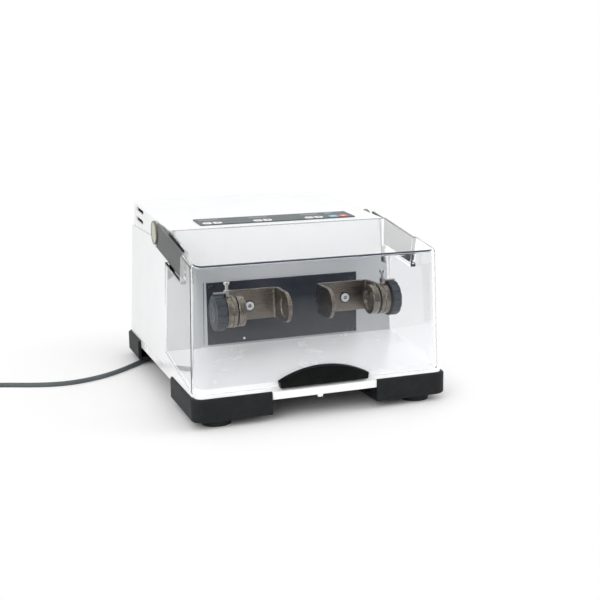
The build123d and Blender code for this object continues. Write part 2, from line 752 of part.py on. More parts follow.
with BuildPart() as holder_screw_right:
    screw_plane = Plane((ROCKER_X, PLATE_Y, JAR_Z - 2), x_dir=(1, 0, 0), z_dir=(0, -1, 0))
    with BuildSketch(screw_plane):
        Circle(6.3)
    extrude(amount=2.6)
    fillet(holder_screw_right.faces().sort_by(Axis.Y)[0].edges(), 0.8)
    with BuildSketch(screw_plane.offset(2.6)):
        RegularPolygon(3.0, 6)
    extrude(amount=-2.0, mode=Mode.SUBTRACT)
    with BuildSketch(screw_plane):
        Circle(4.9)
    extrude(amount=-HOLDER_T - 8.0)
save_pair(holder_screw_right, "holder_screw")

with BuildPart() as disc_right:
    with BuildSketch(across(DISC_X)):
        Circle(HOLDER_R - 0.6)
    extrude(amount=DISC_T)
    fillet(disc_right.edges(), 0.8)
    with BuildSketch(across(DISC_X)):
        Circle(15.0)
    extrude(amount=2.5, mode=Mode.SUBTRACT)
    with BuildSketch(across(DISC_X + DISC_T - 0.5)):
        Circle(SPINDLE_R)
    extrude(amount=OUTER_ARM_X + HOLDER_T + BOSS_LENGTH - DISC_X - DISC_T + 1.5)
save_pair(disc_right, "clamp_disc")

KNOB_X = OUTER_ARM_X + HOLDER_T + BOSS_LENGTH + KNOB_GAP
with BuildPart() as knob_right:
    with BuildSketch(across(KNOB_X)):
        Circle(KNOB_R)
        with PolarLocations(KNOB_R + 2.0, 12):
            Circle(3.0, mode=Mode.SUBTRACT)
    extrude(amount=KNOB_T)
    fillet(knob_right.faces().sort_by(Axis.X)[-1].outer_wire().edges(), 1.4)
    with BuildSketch(across(KNOB_X - KNOB_GAP + GAP)):
        Circle(HOLDER_R - 6.0)
    extrude(amount=KNOB_GAP)
    with BuildSketch(across(KNOB_X - KNOB_GAP)):
        Circle(SPINDLE_R + GAP)
    extrude(amount=3.0, mode=Mode.SUBTRACT)
save_pair(knob_right, "clamp_knob")

with BuildPart() as guide_right:
    with BuildSketch(Plane.XY.offset(JAR_Z + HOLDER_R)):
        with Locations((pin_x, JAR_Y)):
            RegularPolygon(4.6, 6)
            Circle(LOCK_PIN_R + RUN, mode=Mode.SUBTRACT)
    extrude(amount=8.5)
save_pair(guide_right, "lock_pin_guide")

with BuildPart() as lock_pin_right:
    pin_tip = JAR_Z + SPINDLE_R + 4.5
    cap_z = JAR_Z + HOLDER_R + 16.5
    with BuildSketch(Plane.XY.offset(pin_tip)):
        with Locations((pin_x, JAR_Y)):
            Circle(LOCK_PIN_R)
    extrude(amount=cap_z - pin_tip + 1)
    with BuildSketch(Plane.XY.offset(cap_z)):
        with Locations((pin_x, JAR_Y)):
            Circle(4.4)
    extrude(amount=4.5)
    fillet(lock_pin_right.faces().sort_by(Axis.Z)[-1].edges(), 1.2)
save_pair(lock_pin_right, "lock_pin")

# ---------------------------------------------------------------- drive
ARM_LOW = ARM_MID - ARM_HEIGHT / 2
TAIL_LOW = ARM_MID - 3.5
PAD_Y = PLATE_Y + HOLDER_T
ROD_Z = {1: ARM_MID + 3.5 + 1.0, -1: ARM_MID - 3.5 - 1.0 - ROD_T}


def rocker(side):
    """Arm from the holder's pad back through the wall to the pivot hub, with a tail pin."""
    with BuildPart() as piece:
        with BuildSketch(Plane.XY.offset(ARM_LOW)):
            with Locations((side * ROCKER_X, (PAD_Y + ROCKER_Y) / 2)):
                Rectangle(2 * ARM_HALF, ROCKER_Y - PAD_Y)
            with Locations((side * ROCKER_X, ROCKER_Y)):
                Circle(HUB_R)
        extrude(amount=ARM_HEIGHT)
        # taller block behind the bracket
        with BuildSketch(Plane.XY.offset(ARM_LOW)):
            with Locations((side * ROCKER_X, PAD_Y + PAD_T / 2)):
                Rectangle(30, PAD_T)
        extrude(amount=JAR_Z + 13.0 - ARM_LOW)
        with BuildSketch(Plane.XY.offset(TAIL_LOW)):
            with Locations((side * ROCKER_X, ROCKER_Y + TAIL / 2)):
                Rectangle(14, TAIL)
            with Locations((side * ROCKER_X, ROCKER_Y + TAIL)):
                Circle(8.0)
        extrude(amount=7.0)
        pin_from = min(TAIL_LOW, ROD_Z[side])
        with BuildSketch(Plane.XY.offset(pin_from)):
            with Locations((side * ROCKER_X, ROCKER_Y + TAIL)):
                Circle(TAIL_PIN_R)
        extrude(amount=7.0 + 1.0 + ROD_T)
        with BuildSketch(Plane.XY.offset(ARM_LOW - 1)):
            with Locations((side * ROCKER_X, ROCKER_Y)):
                Circle(SHAFT_R + RUN)
        extrude(amount=ARM_HEIGHT + 2, mode=Mode.SUBTRACT)
        # tapped hole for the holder screw
        with BuildSketch(Plane.XZ.offset(-PAD_Y - 12)):
            with Locations((side * ROCKER_X, JAR_Z - 2)):
                Circle(4.9)
        extrude(amount=13, mode=Mode.SUBTRACT)
    return piece


CRANK_Y = ROCKER_Y + TAIL
for side, name in ((1, "right"), (-1, "left")):
    save(rocker(side), f"rocker_arm_{name}")
    with BuildPart() as rod:
        with BuildSketch(Plane.XY.offset(ROD_Z[side])):
            with Locations((0, CRANK_Y)):
                Circle(ROD_EYE_R)
            with Locations((side * ROCKER_X, CRANK_Y)):
                Circle(8.0)
            with Locations((side * ROCKER_X / 2, CRANK_Y)):
                Rectangle(ROCKER_X, 9.0)
            with Locations((0, CRANK_Y)):
                Circle(ROD_BORE_R, mode=Mode.SUBTRACT)
            with Locations((side * ROCKER_X, CRANK_Y)):
                Circle(TAIL_PIN_R + RUN, mode=Mode.SUBTRACT)
        extrude(amount=ROD_T)
    save(rod, f"connecting_rod_{name}")

with BuildPart() as pivot_shafts:
    for side in (-1, 1):
        with BuildSketch(Plane.XY.offset(FRAME_Z)):
            with Locations((side * ROCKER_X, ROCKER_Y)):
                Circle(SHAFT_R)
        extrude(amount=BRIDGE_Z + BRIDGE_T - FRAME_Z)
save(pivot_shafts, "pivot_shafts")

MAIN_SHAFT_R = 6.0
with BuildPart() as drive_frame:
    # lower plate on four legs, two posts and a bridge that steadies the pivot shafts
    with BuildSketch(Plane.XY.offset(FRAME_Z)):
        with Locations((0, 40.0)):
            RectangleRounded(212, 124, 10)
        with Locations((0, CRANK_Y)):
            Circle(MAIN_SHAFT_R + 4.0, mode=Mode.SUBTRACT)
    extrude(amount=FRAME_T)
    with BuildSketch(Plane.XY.offset(DECK_Z)):
        with Locations((0, 40.0)):
            with GridLocations(184, 96, 2, 2):
                RectangleRounded(18, 18, 4)
    extrude(amount=FRAME_Z - DECK_Z + 1)
    with BuildSketch(Plane.XY.offset(FRAME_Z + FRAME_T - 1)):
        with Locations((-ROCKER_X, ROCKER_Y), (ROCKER_X, ROCKER_Y)):
            Circle(14.0)
    extrude(amount=ARM_LOW - GAP - FRAME_Z - FRAME_T + 1)
    with BuildSketch(Plane.XY.offset(FRAME_Z + FRAME_T - 1)):
        with Locations((-92, 88), (92, 88)):
            RectangleRounded(18, 14, 3)
    extrude(amount=BRIDGE_Z - FRAME_Z - FRAME_T + 2)
    with BuildSketch(Plane.XY.offset(BRIDGE_Z)):
        with Locations((0, 48.0)):
            RectangleRounded(210, 102, 8)
        with Locations((0, CRANK_Y)):
            Circle(MAIN_SHAFT_R + RUN, mode=Mode.SUBTRACT)
    extrude(amount=BRIDGE_T)
    with BuildSketch(Plane.XY.offset(ARM_LOW + ARM_HEIGHT + GAP)):
        with Locations((-ROCKER_X, ROCKER_Y), (ROCKER_X, ROCKER_Y)):
            Circle(14.0)
    extrude(amount=BRIDGE_Z - ARM_LOW - ARM_HEIGHT - GAP + 1)
    with BuildSketch(Plane.XY.offset(FRAME_Z - 1)):
        with Locations((-ROCKER_X, ROCKER_Y), (ROCKER_X, ROCKER_Y)):
            Circle(SHAFT_R)
    extrude(amount=BRIDGE_Z, mode=Mode.SUBTRACT)
save(drive_frame, "drive_frame")

with BuildPart() as motor:
    motor_bottom = DECK_Z + 3.0
    with BuildSketch(Plane.XY.offset(motor_bottom)):
        with Locations((0, CRANK_Y)):
            Circle(MOTOR_R)
            with PolarLocations(MOTOR_R, 16):
                Rectangle(3.0, 2.0, mode=Mode.SUBTRACT)
    extrude(amount=FRAME_Z - motor_bottom)
    with BuildSketch(Plane.XY.offset(FRAME_Z - 1)):
        with Locations((0, CRANK_Y)):
            Circle(MAIN_SHAFT_R + 3.8)
            Circle(MAIN_SHAFT_R + RUN, mode=Mode.SUBTRACT)
    extrude(amount=4.0)
    with BuildSketch(Plane.XY.offset(FRAME_Z - 12)):
        with Locations((0, CRANK_Y)):
            Circle(MAIN_SHAFT_R + RUN)
    extrude(amount=20, mode=Mode.SUBTRACT)
save(motor, "motor")

WHEEL_Z = 161.0
with BuildPart() as eccentric_shaft:
    with BuildSketch(Plane.XY.offset(FRAME_Z - 11)):
        with Locations((0, CRANK_Y)):
            Circle(MAIN_SHAFT_R)
    extrude(amount=BRIDGE_Z + BRIDGE_T - FRAME_Z + 11)
    for side in (-1, 1):
        with BuildSketch(Plane.XY.offset(ROD_Z[side])):
            with Locations((0, CRANK_Y + side * ECCENTRICITY)):
                Circle(ECCENTRIC_R)
        extrude(amount=ROD_T)
save(eccentric_shaft, "eccentric_shaft")

with BuildPart() as flywheel:
    with BuildSketch(Plane.XY.offset(WHEEL_Z)):
        with Locations((0, CRANK_Y)):
            Circle(36.0)
            Circle(MAIN_SHAFT_R + RUN, mode=Mode.SUBTRACT)
            with PolarLocations(23.0, 6):
                Circle(6.0, mode=Mode.SUBTRACT)
    extrude(amount=7.0)
save(flywheel, "flywheel")

with BuildPart() as control_board:
    with BuildSketch(Plane.YZ.offset(-130.0)):
        with Locations((150.0, 95.0)):
            Rectangle(96.0, 76.0)
    extrude(amount=1.6)
    with BuildSketch(Plane.XY.offset(DECK_Z)):
        with Locations((-133.0, 112.0), (-133.0, 188.0)):
            Rectangle(6.0, 8.0)
    extrude(amount=30.0)
    with BuildSketch(Plane.YZ.offset(-128.5)):
        with Locations((130.0, 105.0)):
            Rectangle(34.0, 40.0)
        with Locations((172.0, 112.0), (172.0, 86.0)):
            Circle(9.0)
    extrude(amount=24.0)
save(control_board, "control_board")

# ---------------------------------------------------------------- control panel
top_plane = Plane(
    origin=(0, 0, cover_z(0)),
    x_dir=(1, 0, 0),
    z_dir=(0, -COVER_SLOPE, 1),
)
key_names = ["key_1_minus", "key_1_plus", "key_2_minus", "key_2_plus", "key_3_minus", "key_3_plus"]
key_names += ["start_key", "stop_key"]
all_keys = [(x, KEY_SIZE) for x in KEY_X] + [(x, COMMAND_KEY_SIZE) for x in COMMAND_KEY_X]


def key_outline(name, x, size, margin, mode):
    """A minus key is round at its left end and a plus key at its right end."""
    with Locations((x, KEY_ROW_Y)):
        if name.startswith("key"):
            end = 1 if name.endswith("plus") else -1
            with Locations((-end * size[1] / 4, 0)):
                Rectangle(size[0] - size[1] / 2 + 2 * margin, size[1] + 2 * margin, mode=mode)
            with Locations((end * (size[0] - size[1]) / 2, 0)):
                Circle(size[1] / 2 + margin, mode=mode)
        else:
            RectangleRounded(size[0] + 2 * margin, size[1] + 2 * margin, 1.5, mode=mode)


with BuildPart() as keypad:
    with BuildSketch(top_plane):
        with Locations(((KEYPAD_X[0] + KEYPAD_X[1]) / 2, (KEYPAD_Y[0] + KEYPAD_Y[1]) / 2)):
            RectangleRounded(KEYPAD_X[1] - KEYPAD_X[0], KEYPAD_Y[1] - KEYPAD_Y[0], 2.0)
        for name, (x, size) in zip(key_names, all_keys):
            key_outline(name, x, size, GAP, Mode.SUBTRACT)
    extrude(amount=KEYPAD_T)
save(keypad, "keypad")

for name, (x, size) in zip(key_names, all_keys):
    with BuildPart() as key:
        with BuildSketch(top_plane.offset(-2.0)):
            key_outline(name, x, size, 0, Mode.ADD)
        extrude(amount=KEYPAD_T + 2.0 + KEY_PROUD)
        fillet(key.faces().sort_by(Axis.Z)[-1].edges(), 0.5)
    save(key, name)

# ---------------------------------------------------------------- mains side
REAR_WALL = lerp(HOUSING_REAR, HOUSING_REAR - 1.0, (INLET_Z - HOUSING_BOTTOM) / (SEAM_Z - HOUSING_BOTTOM))


def rear(x, z, y):
    return Plane((x, y, z), x_dir=(-1, 0, 0), z_dir=(0, 1, 0))


with BuildPart() as mains_inlet:
    # socket above, fuse drawer below, one flange round both
    with BuildSketch(rear(INLET_X, INLET_Z, REAR_WALL - INLET_DEPTH - 4)):
        RectangleRounded(INLET_SIZE[0] + 4.0, INLET_SIZE[1] + 4.0, 2.0)
        with Locations((0, -FUSE_DROP)):
            RectangleRounded(INLET_SIZE[0] + 4.0, FUSE_SIZE[1] + 6.0, 2.0)
    extrude(amount=INLET_DEPTH + 4.5)
    with BuildSketch(rear(INLET_X, INLET_Z, REAR_WALL + 0.3)):
        with Locations((0, -FUSE_DROP / 2 + 1.0)):
            RectangleRounded(INLET_SIZE[0] + 12.0, INLET_SIZE[1] + FUSE_DROP + 8.0, 3.0)
    extrude(amount=2.0)
    with BuildSketch(rear(INLET_X, INLET_Z - FUSE_DROP, REAR_WALL + 3 - FUSE_DEPTH)):
        Rectangle(FUSE_SIZE[0], FUSE_SIZE[1])
    extrude(amount=FUSE_DEPTH, mode=Mode.SUBTRACT)
    with BuildSketch(rear(INLET_X, INLET_Z, REAR_WALL + 2.1 - INLET_DEPTH)):
        RectangleRounded(INLET_SIZE[0], INLET_SIZE[1], 3.0)
    extrude(amount=INLET_DEPTH + 5, mode=Mode.SUBTRACT)
    with BuildSketch(rear(INLET_X, INLET_Z, REAR_WALL + 1.0 - INLET_DEPTH)):
        with Locations((-7, -2), (0, 2), (7, -2)):
            Rectangle(2.0, 4.0)
    extrude(amount=9.0)
save(mains_inlet, "mains_inlet")

with BuildPart() as fuse_drawer:
    with BuildSketch(rear(INLET_X, INLET_Z - FUSE_DROP, REAR_WALL + 3.1 - FUSE_DEPTH)):
        Rectangle(FUSE_SIZE[0] - 2 * SEAM, FUSE_SIZE[1] - 2 * SEAM)
    extrude(amount=FUSE_DEPTH - 0.4)
    # lip for a fingernail
    with BuildSketch(rear(INLET_X, INLET_Z - FUSE_DROP - FUSE_SIZE[1] / 2 + 1.4, REAR_WALL + 2.6)):
        Rectangle(FUSE_SIZE[0] - 8.0, 1.6)
    extrude(amount=1.2)
save(fuse_drawer, "fuse_drawer")

with BuildPart() as mains_connector:
    nose = (INLET_SIZE[0] - 0.8, INLET_SIZE[1] - 0.8)
    with BuildSketch(rear(INLET_X, INLET_Z, REAR_WALL + 2.6 - INLET_DEPTH)):
        RectangleRounded(nose[0], nose[1], 2.6)
    extrude(amount=INLET_DEPTH + 1.0)
    with BuildSketch(rear(INLET_X, INLET_Z, REAR_WALL + 2.6)):
        RectangleRounded(nose[0] + 3.0, nose[1] + 3.0, 4.0)
    with BuildSketch(rear(INLET_X, INLET_Z, REAR_WALL + 14.0)):
        RectangleRounded(nose[0] - 2.0, nose[1] - 1.0, 4.0)
    loft()
    with BuildSketch(rear(INLET_X, INLET_Z, REAR_WALL + 2.6 - INLET_DEPTH)):
        with Locations((-7, -2), (0, 2), (7, -2)):
            Rectangle(2.8, 4.8)
    extrude(amount=10.0, mode=Mode.SUBTRACT)
save(mains_connector, "mains_connector")

with BuildPart() as strain_relief:
    relief_start = REAR_WALL + 14.0
    with BuildSketch(rear(INLET_X, INLET_Z, relief_start)):
        Circle(6.6)
    with BuildSketch(rear(INLET_X, INLET_Z, CONNECTOR_END_Y + 5.0)):
        Circle(4.6)
    loft()
    with BuildSketch(rear(INLET_X, INLET_Z, CONNECTOR_END_Y)):
        Circle(CORD_D / 2 + RUN)
    extrude(amount=10, mode=Mode.SUBTRACT)
save(strain_relief, "strain_relief")

SWITCH_TILT = 7.0  # degrees either side of level; it rests in the off position
SWITCH_HALF = 6.0  # half the rocker's width
switch_y = REAR_WALL - SWITCH_PIVOT_DEPTH
with BuildPart() as mains_switch:
    # a rocker on two stub pins, level, inside the rear wall
    rocker_plane = Plane(
        origin=(SWITCH_X - SWITCH_HALF, switch_y, INLET_Z),
        x_dir=(0, cos(radians(SWITCH_TILT)), sin(radians(SWITCH_TILT))),
        z_dir=(1, 0, 0),
    )
    with BuildSketch(rocker_plane):
        with BuildLine():
            Polyline((6.0, 9.0), (-3.0, 8.0), (-3.0, -8.0), (6.0, -9.0))
            ThreePointArc((6.0, -9.0), (5.0, 0), (6.0, 9.0))
        make_face()
    extrude(amount=2 * SWITCH_HALF)
    with BuildSketch(rocker_plane.offset(-1.2)):
        Circle(SWITCH_PIVOT_R)
    extrude(amount=2 * SWITCH_HALF + 2.4)
save(mains_switch, "mains_switch")

with BuildPart() as switch_bezel:
    with BuildSketch(rear(SWITCH_X, INLET_Z, REAR_WALL - 12.0)):
        RectangleRounded(BEZEL_SIZE[0], BEZEL_SIZE[1], 1.5)
    extrude(amount=12.5)
    with BuildSketch(rear(SWITCH_X, INLET_Z, REAR_WALL + 0.3)):
        RectangleRounded(BEZEL_SIZE[0] + 4.0, BEZEL_SIZE[1] + 4.0, 2.0)
    extrude(amount=1.2)
    # well for the rocker with bores for its pins
    with BuildSketch(rear(SWITCH_X, INLET_Z, REAR_WALL - 10.5)):
        Rectangle(2 * (SWITCH_HALF + GAP), 21.0)
    extrude(amount=14.0, mode=Mode.SUBTRACT)
    with BuildSketch(rocker_plane.offset(-1.2 - GAP)):
        Circle(SWITCH_PIVOT_R + RUN)
    extrude(amount=2 * (SWITCH_HALF + 1.2 + GAP), mode=Mode.SUBTRACT)
save(switch_bezel, "switch_bezel")

with BuildPart() as fan_frame:
    with BuildSketch(rear(FAN_X, FAN_Z, REAR_WALL - HOUSING_WALL - 0.6 - FAN_T)):
        RectangleRounded(FAN_SIZE, FAN_SIZE, 4.0)
        Circle(FAN_SIZE / 2 - 2.5, mode=Mode.SUBTRACT)
    extrude(amount=FAN_T)
    with BuildSketch(rear(FAN_X, FAN_Z, REAR_WALL - HOUSING_WALL - 0.6 - FAN_T)):
        Circle(13.0)
        Rectangle(4.0, FAN_SIZE - 2.0)
        Rectangle(FAN_SIZE - 2.0, 4.0)
    extrude(amount=3.0)
save(fan_frame, "fan_frame")

with BuildPart() as fan_rotor:
    fan_y = REAR_WALL - HOUSING_WALL - 0.6 - FAN_T + 3.0 + GAP
    with BuildSketch(rear(FAN_X, FAN_Z, fan_y)):
        Circle(15.0)
    extrude(amount=16.0)
    blade_plane = rear(FAN_X, FAN_Z, fan_y + 3.0)
    with BuildSketch(blade_plane):
        with PolarLocations(24.5, 7):
            Rectangle(22.0, 3.0, rotation=8)
    extrude(amount=10.0)
save(fan_rotor, "fan_rotor")

# ---------------------------------------------------------------- mains cord
CORD_Z = CORD_D / 2
COIL_PITCH = CORD_D + 0.5
COIL_R = 50.5  # outermost half turn
COIL_HALF_TURNS = 5  # in each layer
LAST_BEND = (-416.0, 95.0)
COIL_START = (-476.0, 112.0)
COIL_HEADING = degrees(atan2(COIL_START[1] - LAST_BEND[1], COIL_START[0] - LAST_BEND[0]))

bend_y = CONNECTOR_END_Y + CORD_BEND_RUN
route = [
    (INLET_X, CONNECTOR_END_Y, INLET_Z),
    (INLET_X, bend_y, INLET_Z),
    (INLET_X, bend_y + CORD_BEND_RUN / 2, CORD_Z + CORD_BEND_RUN * sin(radians(60))),
    (INLET_X, bend_y, CORD_Z),
    (-93.0, 252.0, CORD_Z),
    (-106.0, 195.0, CORD_Z),
    (-160.0, 172.0, CORD_Z),
    (-206.0, 120.4, CORD_Z),
    (-252.0, 81.0, CORD_Z),
    (-305.0, 60.5, CORD_Z),
    (-352.0, 66.0, CORD_Z),
    (LAST_BEND[0], LAST_BEND[1], CORD_Z),
    (COIL_START[0], COIL_START[1], CORD_Z),
]


def bend_radii(points):
    radii = []
    for a, b, c in zip(points, points[1:], points[2:]):
        before = Vector(*b) - Vector(*a)
        after = Vector(*c) - Vector(*b)
        turn = before.get_angle(after)
        shorter = min(before.length, after.length)
        radii.append(0.45 * shorter / tan(radians(turn / 2)))
    return radii


cord_radii = bend_radii(route)
print("cord bend radii:", [round(r, 1) for r in cord_radii])
with BuildPart() as mains_cord:
    with BuildLine() as cord_path:
        FilletPolyline(*route, radius=cord_radii)
    with BuildSketch(Plane(origin=route[0], z_dir=(0, 1, 0))):
        Circle(CORD_D / 2)
    sweep(path=cord_path.line)
cord_length = cord_path.wire().length
cord_section = pi * CORD_D**2 / 4
print("cord length", round(cord_length, 1))
print("cord volume ratio", round(mains_cord.part.volume / cord_section / cord_length, 4))
save(mains_cord, "mains_cord")


def flat(angle):
    return Vector(cos(radians(angle)), sin(radians(angle)), 0)


def arc_middle(start, heading, end):
    """The middle point of the arc that leaves start along heading and reaches end."""
    chord = end - start
    half_turn = radians(heading.get_angle(chord))
    corner = start + heading * (chord.length / 2 / cos(half_turn))
    middle = start + chord * 0.5
    return middle + (corner - middle) * (cos(half_turn) / (1 + cos(half_turn)))


with BuildPart() as cord_coil:
    with BuildLine() as coil_path:
        here = Vector(COIL_START[0], COIL_START[1], CORD_Z)
        heading = flat(COIL_HEADING)
        Line(here, here + heading * CORD_D)
        here = here + heading * CORD_D
        radii = [COIL_R - k * COIL_PITCH / 2 for k in range(COIL_HALF_TURNS)]
        climb = COIL_R - COIL_HALF_TURNS * COIL_PITCH / 2
        for number, r in enumerate(radii + [climb] + radii[::-1]):
            inward = heading.rotate(Axis.Z, 90)
            end = here + inward * (2 * r)
            if number == COIL_HALF_TURNS:
                end = end + Vector(0, 0, COIL_PITCH)
            span = end - here
            join = (here + end) * 0.5 + heading * (span.length / 2)
            top_heading = span.normalized()
            for a, t, b in ((here, heading, join), (join, top_heading, end)):
                ThreePointArc(a, arc_middle(a, t, b), b)
            here = end
            heading = heading * -1
        Line(here, here + heading * CORD_D)
    coil_end = here + heading * CORD_D
    with BuildSketch(Plane(origin=(COIL_START[0], COIL_START[1], CORD_Z), z_dir=flat(COIL_HEADING))):
        Circle(CORD_D / 2)
    sweep(path=coil_path.line)
coil_wire = coil_path.wire()
print("coil length", round(coil_wire.length, 1))

# least distance between turns, on points along the tube
steps = 440
samples = [coil_wire.position_at(i / steps) for i in range(steps + 1)]
spacing = coil_wire.length / steps
skip = int(3 * CORD_D / spacing)
least = min(
    (samples[i] - samples[j]).length for i in range(steps + 1) for j in range(i + skip, steps + 1)
)
print("coil gap to itself", round(least - CORD_D, 2))
save(cord_coil, "cord_coil")

# three-pin plug lying beside the coil, its cord end at the height of the upper layer
plug_dir = heading
plug_z = CORD_Z + COIL_PITCH


def plug_plane(distance):
    spot = coil_end + plug_dir * distance
    return Plane(origin=spot, x_dir=plug_dir.rotate(Axis.Z, 90), z_dir=plug_dir)


PLUG_RELIEF = 22.0
PLUG_BODY = 26.0
with BuildPart() as cord_plug:
    with BuildSketch(plug_plane(0)):
        Circle(CORD_D / 2 + 0.6)
    with BuildSketch(plug_plane(PLUG_RELIEF)):
        Circle(CORD_D / 2 + 2.4)
    loft()
    with BuildSketch(plug_plane(PLUG_RELIEF)):
        RectangleRounded(19, 17, 5)
    with BuildSketch(plug_plane(PLUG_RELIEF + PLUG_BODY * 0.6)):
        RectangleRounded(26, 2 * plug_z, 6)
    with BuildSketch(plug_plane(PLUG_RELIEF + PLUG_BODY)):
        RectangleRounded(26, 2 * plug_z, 6)
    loft(ruled=True)
    with BuildSketch(plug_plane(PLUG_RELIEF + PLUG_BODY - 1)):
        with Locations((-6.35, 3.0), (6.35, 3.0)):
            Rectangle(1.6, 6.4)
        with Locations((0, -6.0)):
            Circle(2.4)
    extrude(amount=17.0)
save(cord_plug, "cord_plug")
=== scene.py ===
"""The looks of a bench-top mixer mill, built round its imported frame.

Metres. X runs to the right as the user faces the mill, Y to the rear, Z up.
"""

import math

import bmesh
import bpy
from bpy.props import FloatProperty, FloatVectorProperty, IntProperty, PointerProperty
from mathutils import Matrix, Vector


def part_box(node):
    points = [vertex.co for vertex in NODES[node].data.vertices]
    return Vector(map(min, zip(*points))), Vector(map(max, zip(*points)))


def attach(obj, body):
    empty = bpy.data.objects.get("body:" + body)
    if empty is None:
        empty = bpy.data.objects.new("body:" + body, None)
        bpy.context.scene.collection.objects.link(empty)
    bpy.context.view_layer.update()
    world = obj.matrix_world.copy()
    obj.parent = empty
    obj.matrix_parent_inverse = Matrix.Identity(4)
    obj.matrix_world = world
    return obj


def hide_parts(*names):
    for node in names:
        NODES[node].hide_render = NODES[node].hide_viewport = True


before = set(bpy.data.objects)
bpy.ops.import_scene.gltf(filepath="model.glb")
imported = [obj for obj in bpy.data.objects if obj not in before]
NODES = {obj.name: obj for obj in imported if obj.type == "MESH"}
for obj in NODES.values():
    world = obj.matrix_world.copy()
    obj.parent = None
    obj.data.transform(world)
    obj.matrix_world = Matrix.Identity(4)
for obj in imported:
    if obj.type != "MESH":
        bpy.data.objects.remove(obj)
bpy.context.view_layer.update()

bl_info = {
    "name": "Bench mixer mill",
    "version": (1, 0, 0),
    "blender": (4, 5, 0),
    "location": "3D View > Sidebar > Mill",
    "description": "Finishes, small fittings, mains lead and studio of a bench-top mixer mill",
    "category": "Object",
}

MM = 0.001


# ---------------------------------------------------------------- settings
def setting(name, description, default, **more):
    """A number that isn't below zero."""
    return FloatProperty(name=name, description=description, default=default, min=0.0, **more)


def length(name, description, default):
    """A length in metres."""
    return setting(name, description, default, unit="LENGTH")


def colour(name, description, default):
    """A colour as the shaders take it."""
    return FloatVectorProperty(
        name=name,
        description=description,
        default=default,
        size=3,
        min=0.0,
        max=1.0,
        subtype="COLOR",
    )


class MillColours(bpy.types.PropertyGroup):
    """Colours of the mill's finishes"""

    enamel: colour("Enamel", "White powder coat of the housing and cover", (0.86, 0.865, 0.875))
    tray: colour("Tray", "Glossy white of the base and the chamber's floor", (0.92, 0.923, 0.927))
    wall: colour("Chamber wall", "Grey enamel behind the jar holders", (0.44, 0.46, 0.47))
    slotted: colour("Slotted plate", "Dark plate that the arms come through", (0.018, 0.022, 0.030))
    bumper: colour("Bumpers", "Charcoal plastic of the four corners", (0.014, 0.015, 0.017))
    grip: colour("Grip", "Near black plastic of the hood's grip", (0.0025, 0.003, 0.003))
    arm: colour("Hood arms", "Grey satin paint of the hood's arms", (0.046, 0.051, 0.050))
    cap: colour("Pivot caps", "Cream plastic of the caps on the hinge", (0.42, 0.42, 0.34))
    holder: colour("Jar holders", "Bronzed steel of brackets and clamp discs", (0.25, 0.22, 0.185))
    knob: colour("Clamp knobs", "Slate plastic of the clamp knobs", (0.024, 0.032, 0.040))
    keypad: colour("Keypad", "Grey foil of the keypad", (0.072, 0.090, 0.092))
    jacket: colour("Cord", "Grey jacket of the mains lead", (0.085, 0.098, 0.104))
    # painted highlight: the hood's front edge is tinted with this colour and glows faintly with it
    hood_edge_highlight: colour("Hood edge highlight", "Painted bluish highlight of the hood's front edge", (0.46, 0.49, 0.66))
    key_blue: colour("Start key", "Blue plastic of the start key", (0.16, 0.42, 0.62))
    key_red: colour("Stop key", "Red plastic of the stop key", (0.62, 0.075, 0.05))


class MillSizes(bpy.types.PropertyGroup):
    """Sizes of what is added to the frame"""

    cord_diameter: length("Cord diameter", "Over the jacket of the mains lead", 0.0075)
    cord_length: length("Cord length", "From the strain relief to the plug", 2.114)
    coil_radius: length("Coil radius", "Middle of the outermost half turn", 0.0505)
    coil_half_turns: IntProperty(
        name="Half turns",
        description="Half turns in each of the coil's two layers",
        default=5,
        min=1,
        max=20,
    )
    edge_radius: length("Edge radius", "Rounding that the edges of sheet metal show", 0.0008)


class MillStudio(bpy.types.PropertyGroup):
    """Floor, lamps and camera"""

    floor_colour: colour("Floor", "Pale sweep under the mill", (0.955, 0.955, 0.95))
    floor_size: length("Floor size", "Side of the square floor", 12.0)
    sky: setting("Sky", "Even light from all round", 0.72)
    overhead: setting("Overhead", "Soft box above the mill", 4.0, unit="POWER")
    front: setting("Front", "Soft box in front on the left", 23.0, unit="POWER")
    side: setting("Side", "Soft box on the right", 15.0, unit="POWER")
    lens: setting("Lens", "Focal length on a 36 mm square sensor", 60.0, unit="CAMERA")


# ---------------------------------------------------------------- node helpers
def fill(tree, node, inputs):
    """Links each input that is given as a socket, and sets any other."""
    for name, value in inputs.items():
        if isinstance(value, bpy.types.NodeSocket):
            tree.links.new(value, node.inputs[name])
        else:
            node.inputs[name].default_value = value


def put(tree, kind, inputs=None, **settings):
    """Adds a node with its settings and its inputs."""
    node = tree.nodes.new(kind)
    for name, value in settings.items():
        setattr(node, name, value)
    fill(tree, node, inputs or {})
    return node


def maths(tree, operation, a, b=0.0):
    """The result of one sum on sockets or numbers."""
    return put(tree, "ShaderNodeMath", {0: a, 1: b}, operation=operation).outputs[0]


def vector_maths(tree, operation, a, b=(0.0, 0.0, 0.0)):
    """The outputs of one sum on vector sockets or three numbers."""
    return put(tree, "ShaderNodeVectorMath", {0: a, 1: b}, operation=operation).outputs


def spread(tree, value, low, high, to_low, to_high):
    """Maps low..high to to_low..to_high, held at the ends."""
    ends = {"From Min": low, "From Max": high, "To Min": to_low, "To Max": to_high}
    return put(tree, "ShaderNodeMapRange", {"Value": value, **ends}).outputs["Result"]


def along(tree, vector, axis):
    """One axis of a vector socket."""
    return put(tree, "ShaderNodeSeparateXYZ", {0: vector}).outputs[axis]


def facing_axis(tree, axis):
    """How far the surface looks along an axis, from -1 to 1."""
    return along(tree, put(tree, "ShaderNodeNewGeometry").outputs["Normal"], axis)


def object_place(tree):
    """Where the surface point is on its object."""
    return put(tree, "ShaderNodeTexCoord").outputs["Object"]


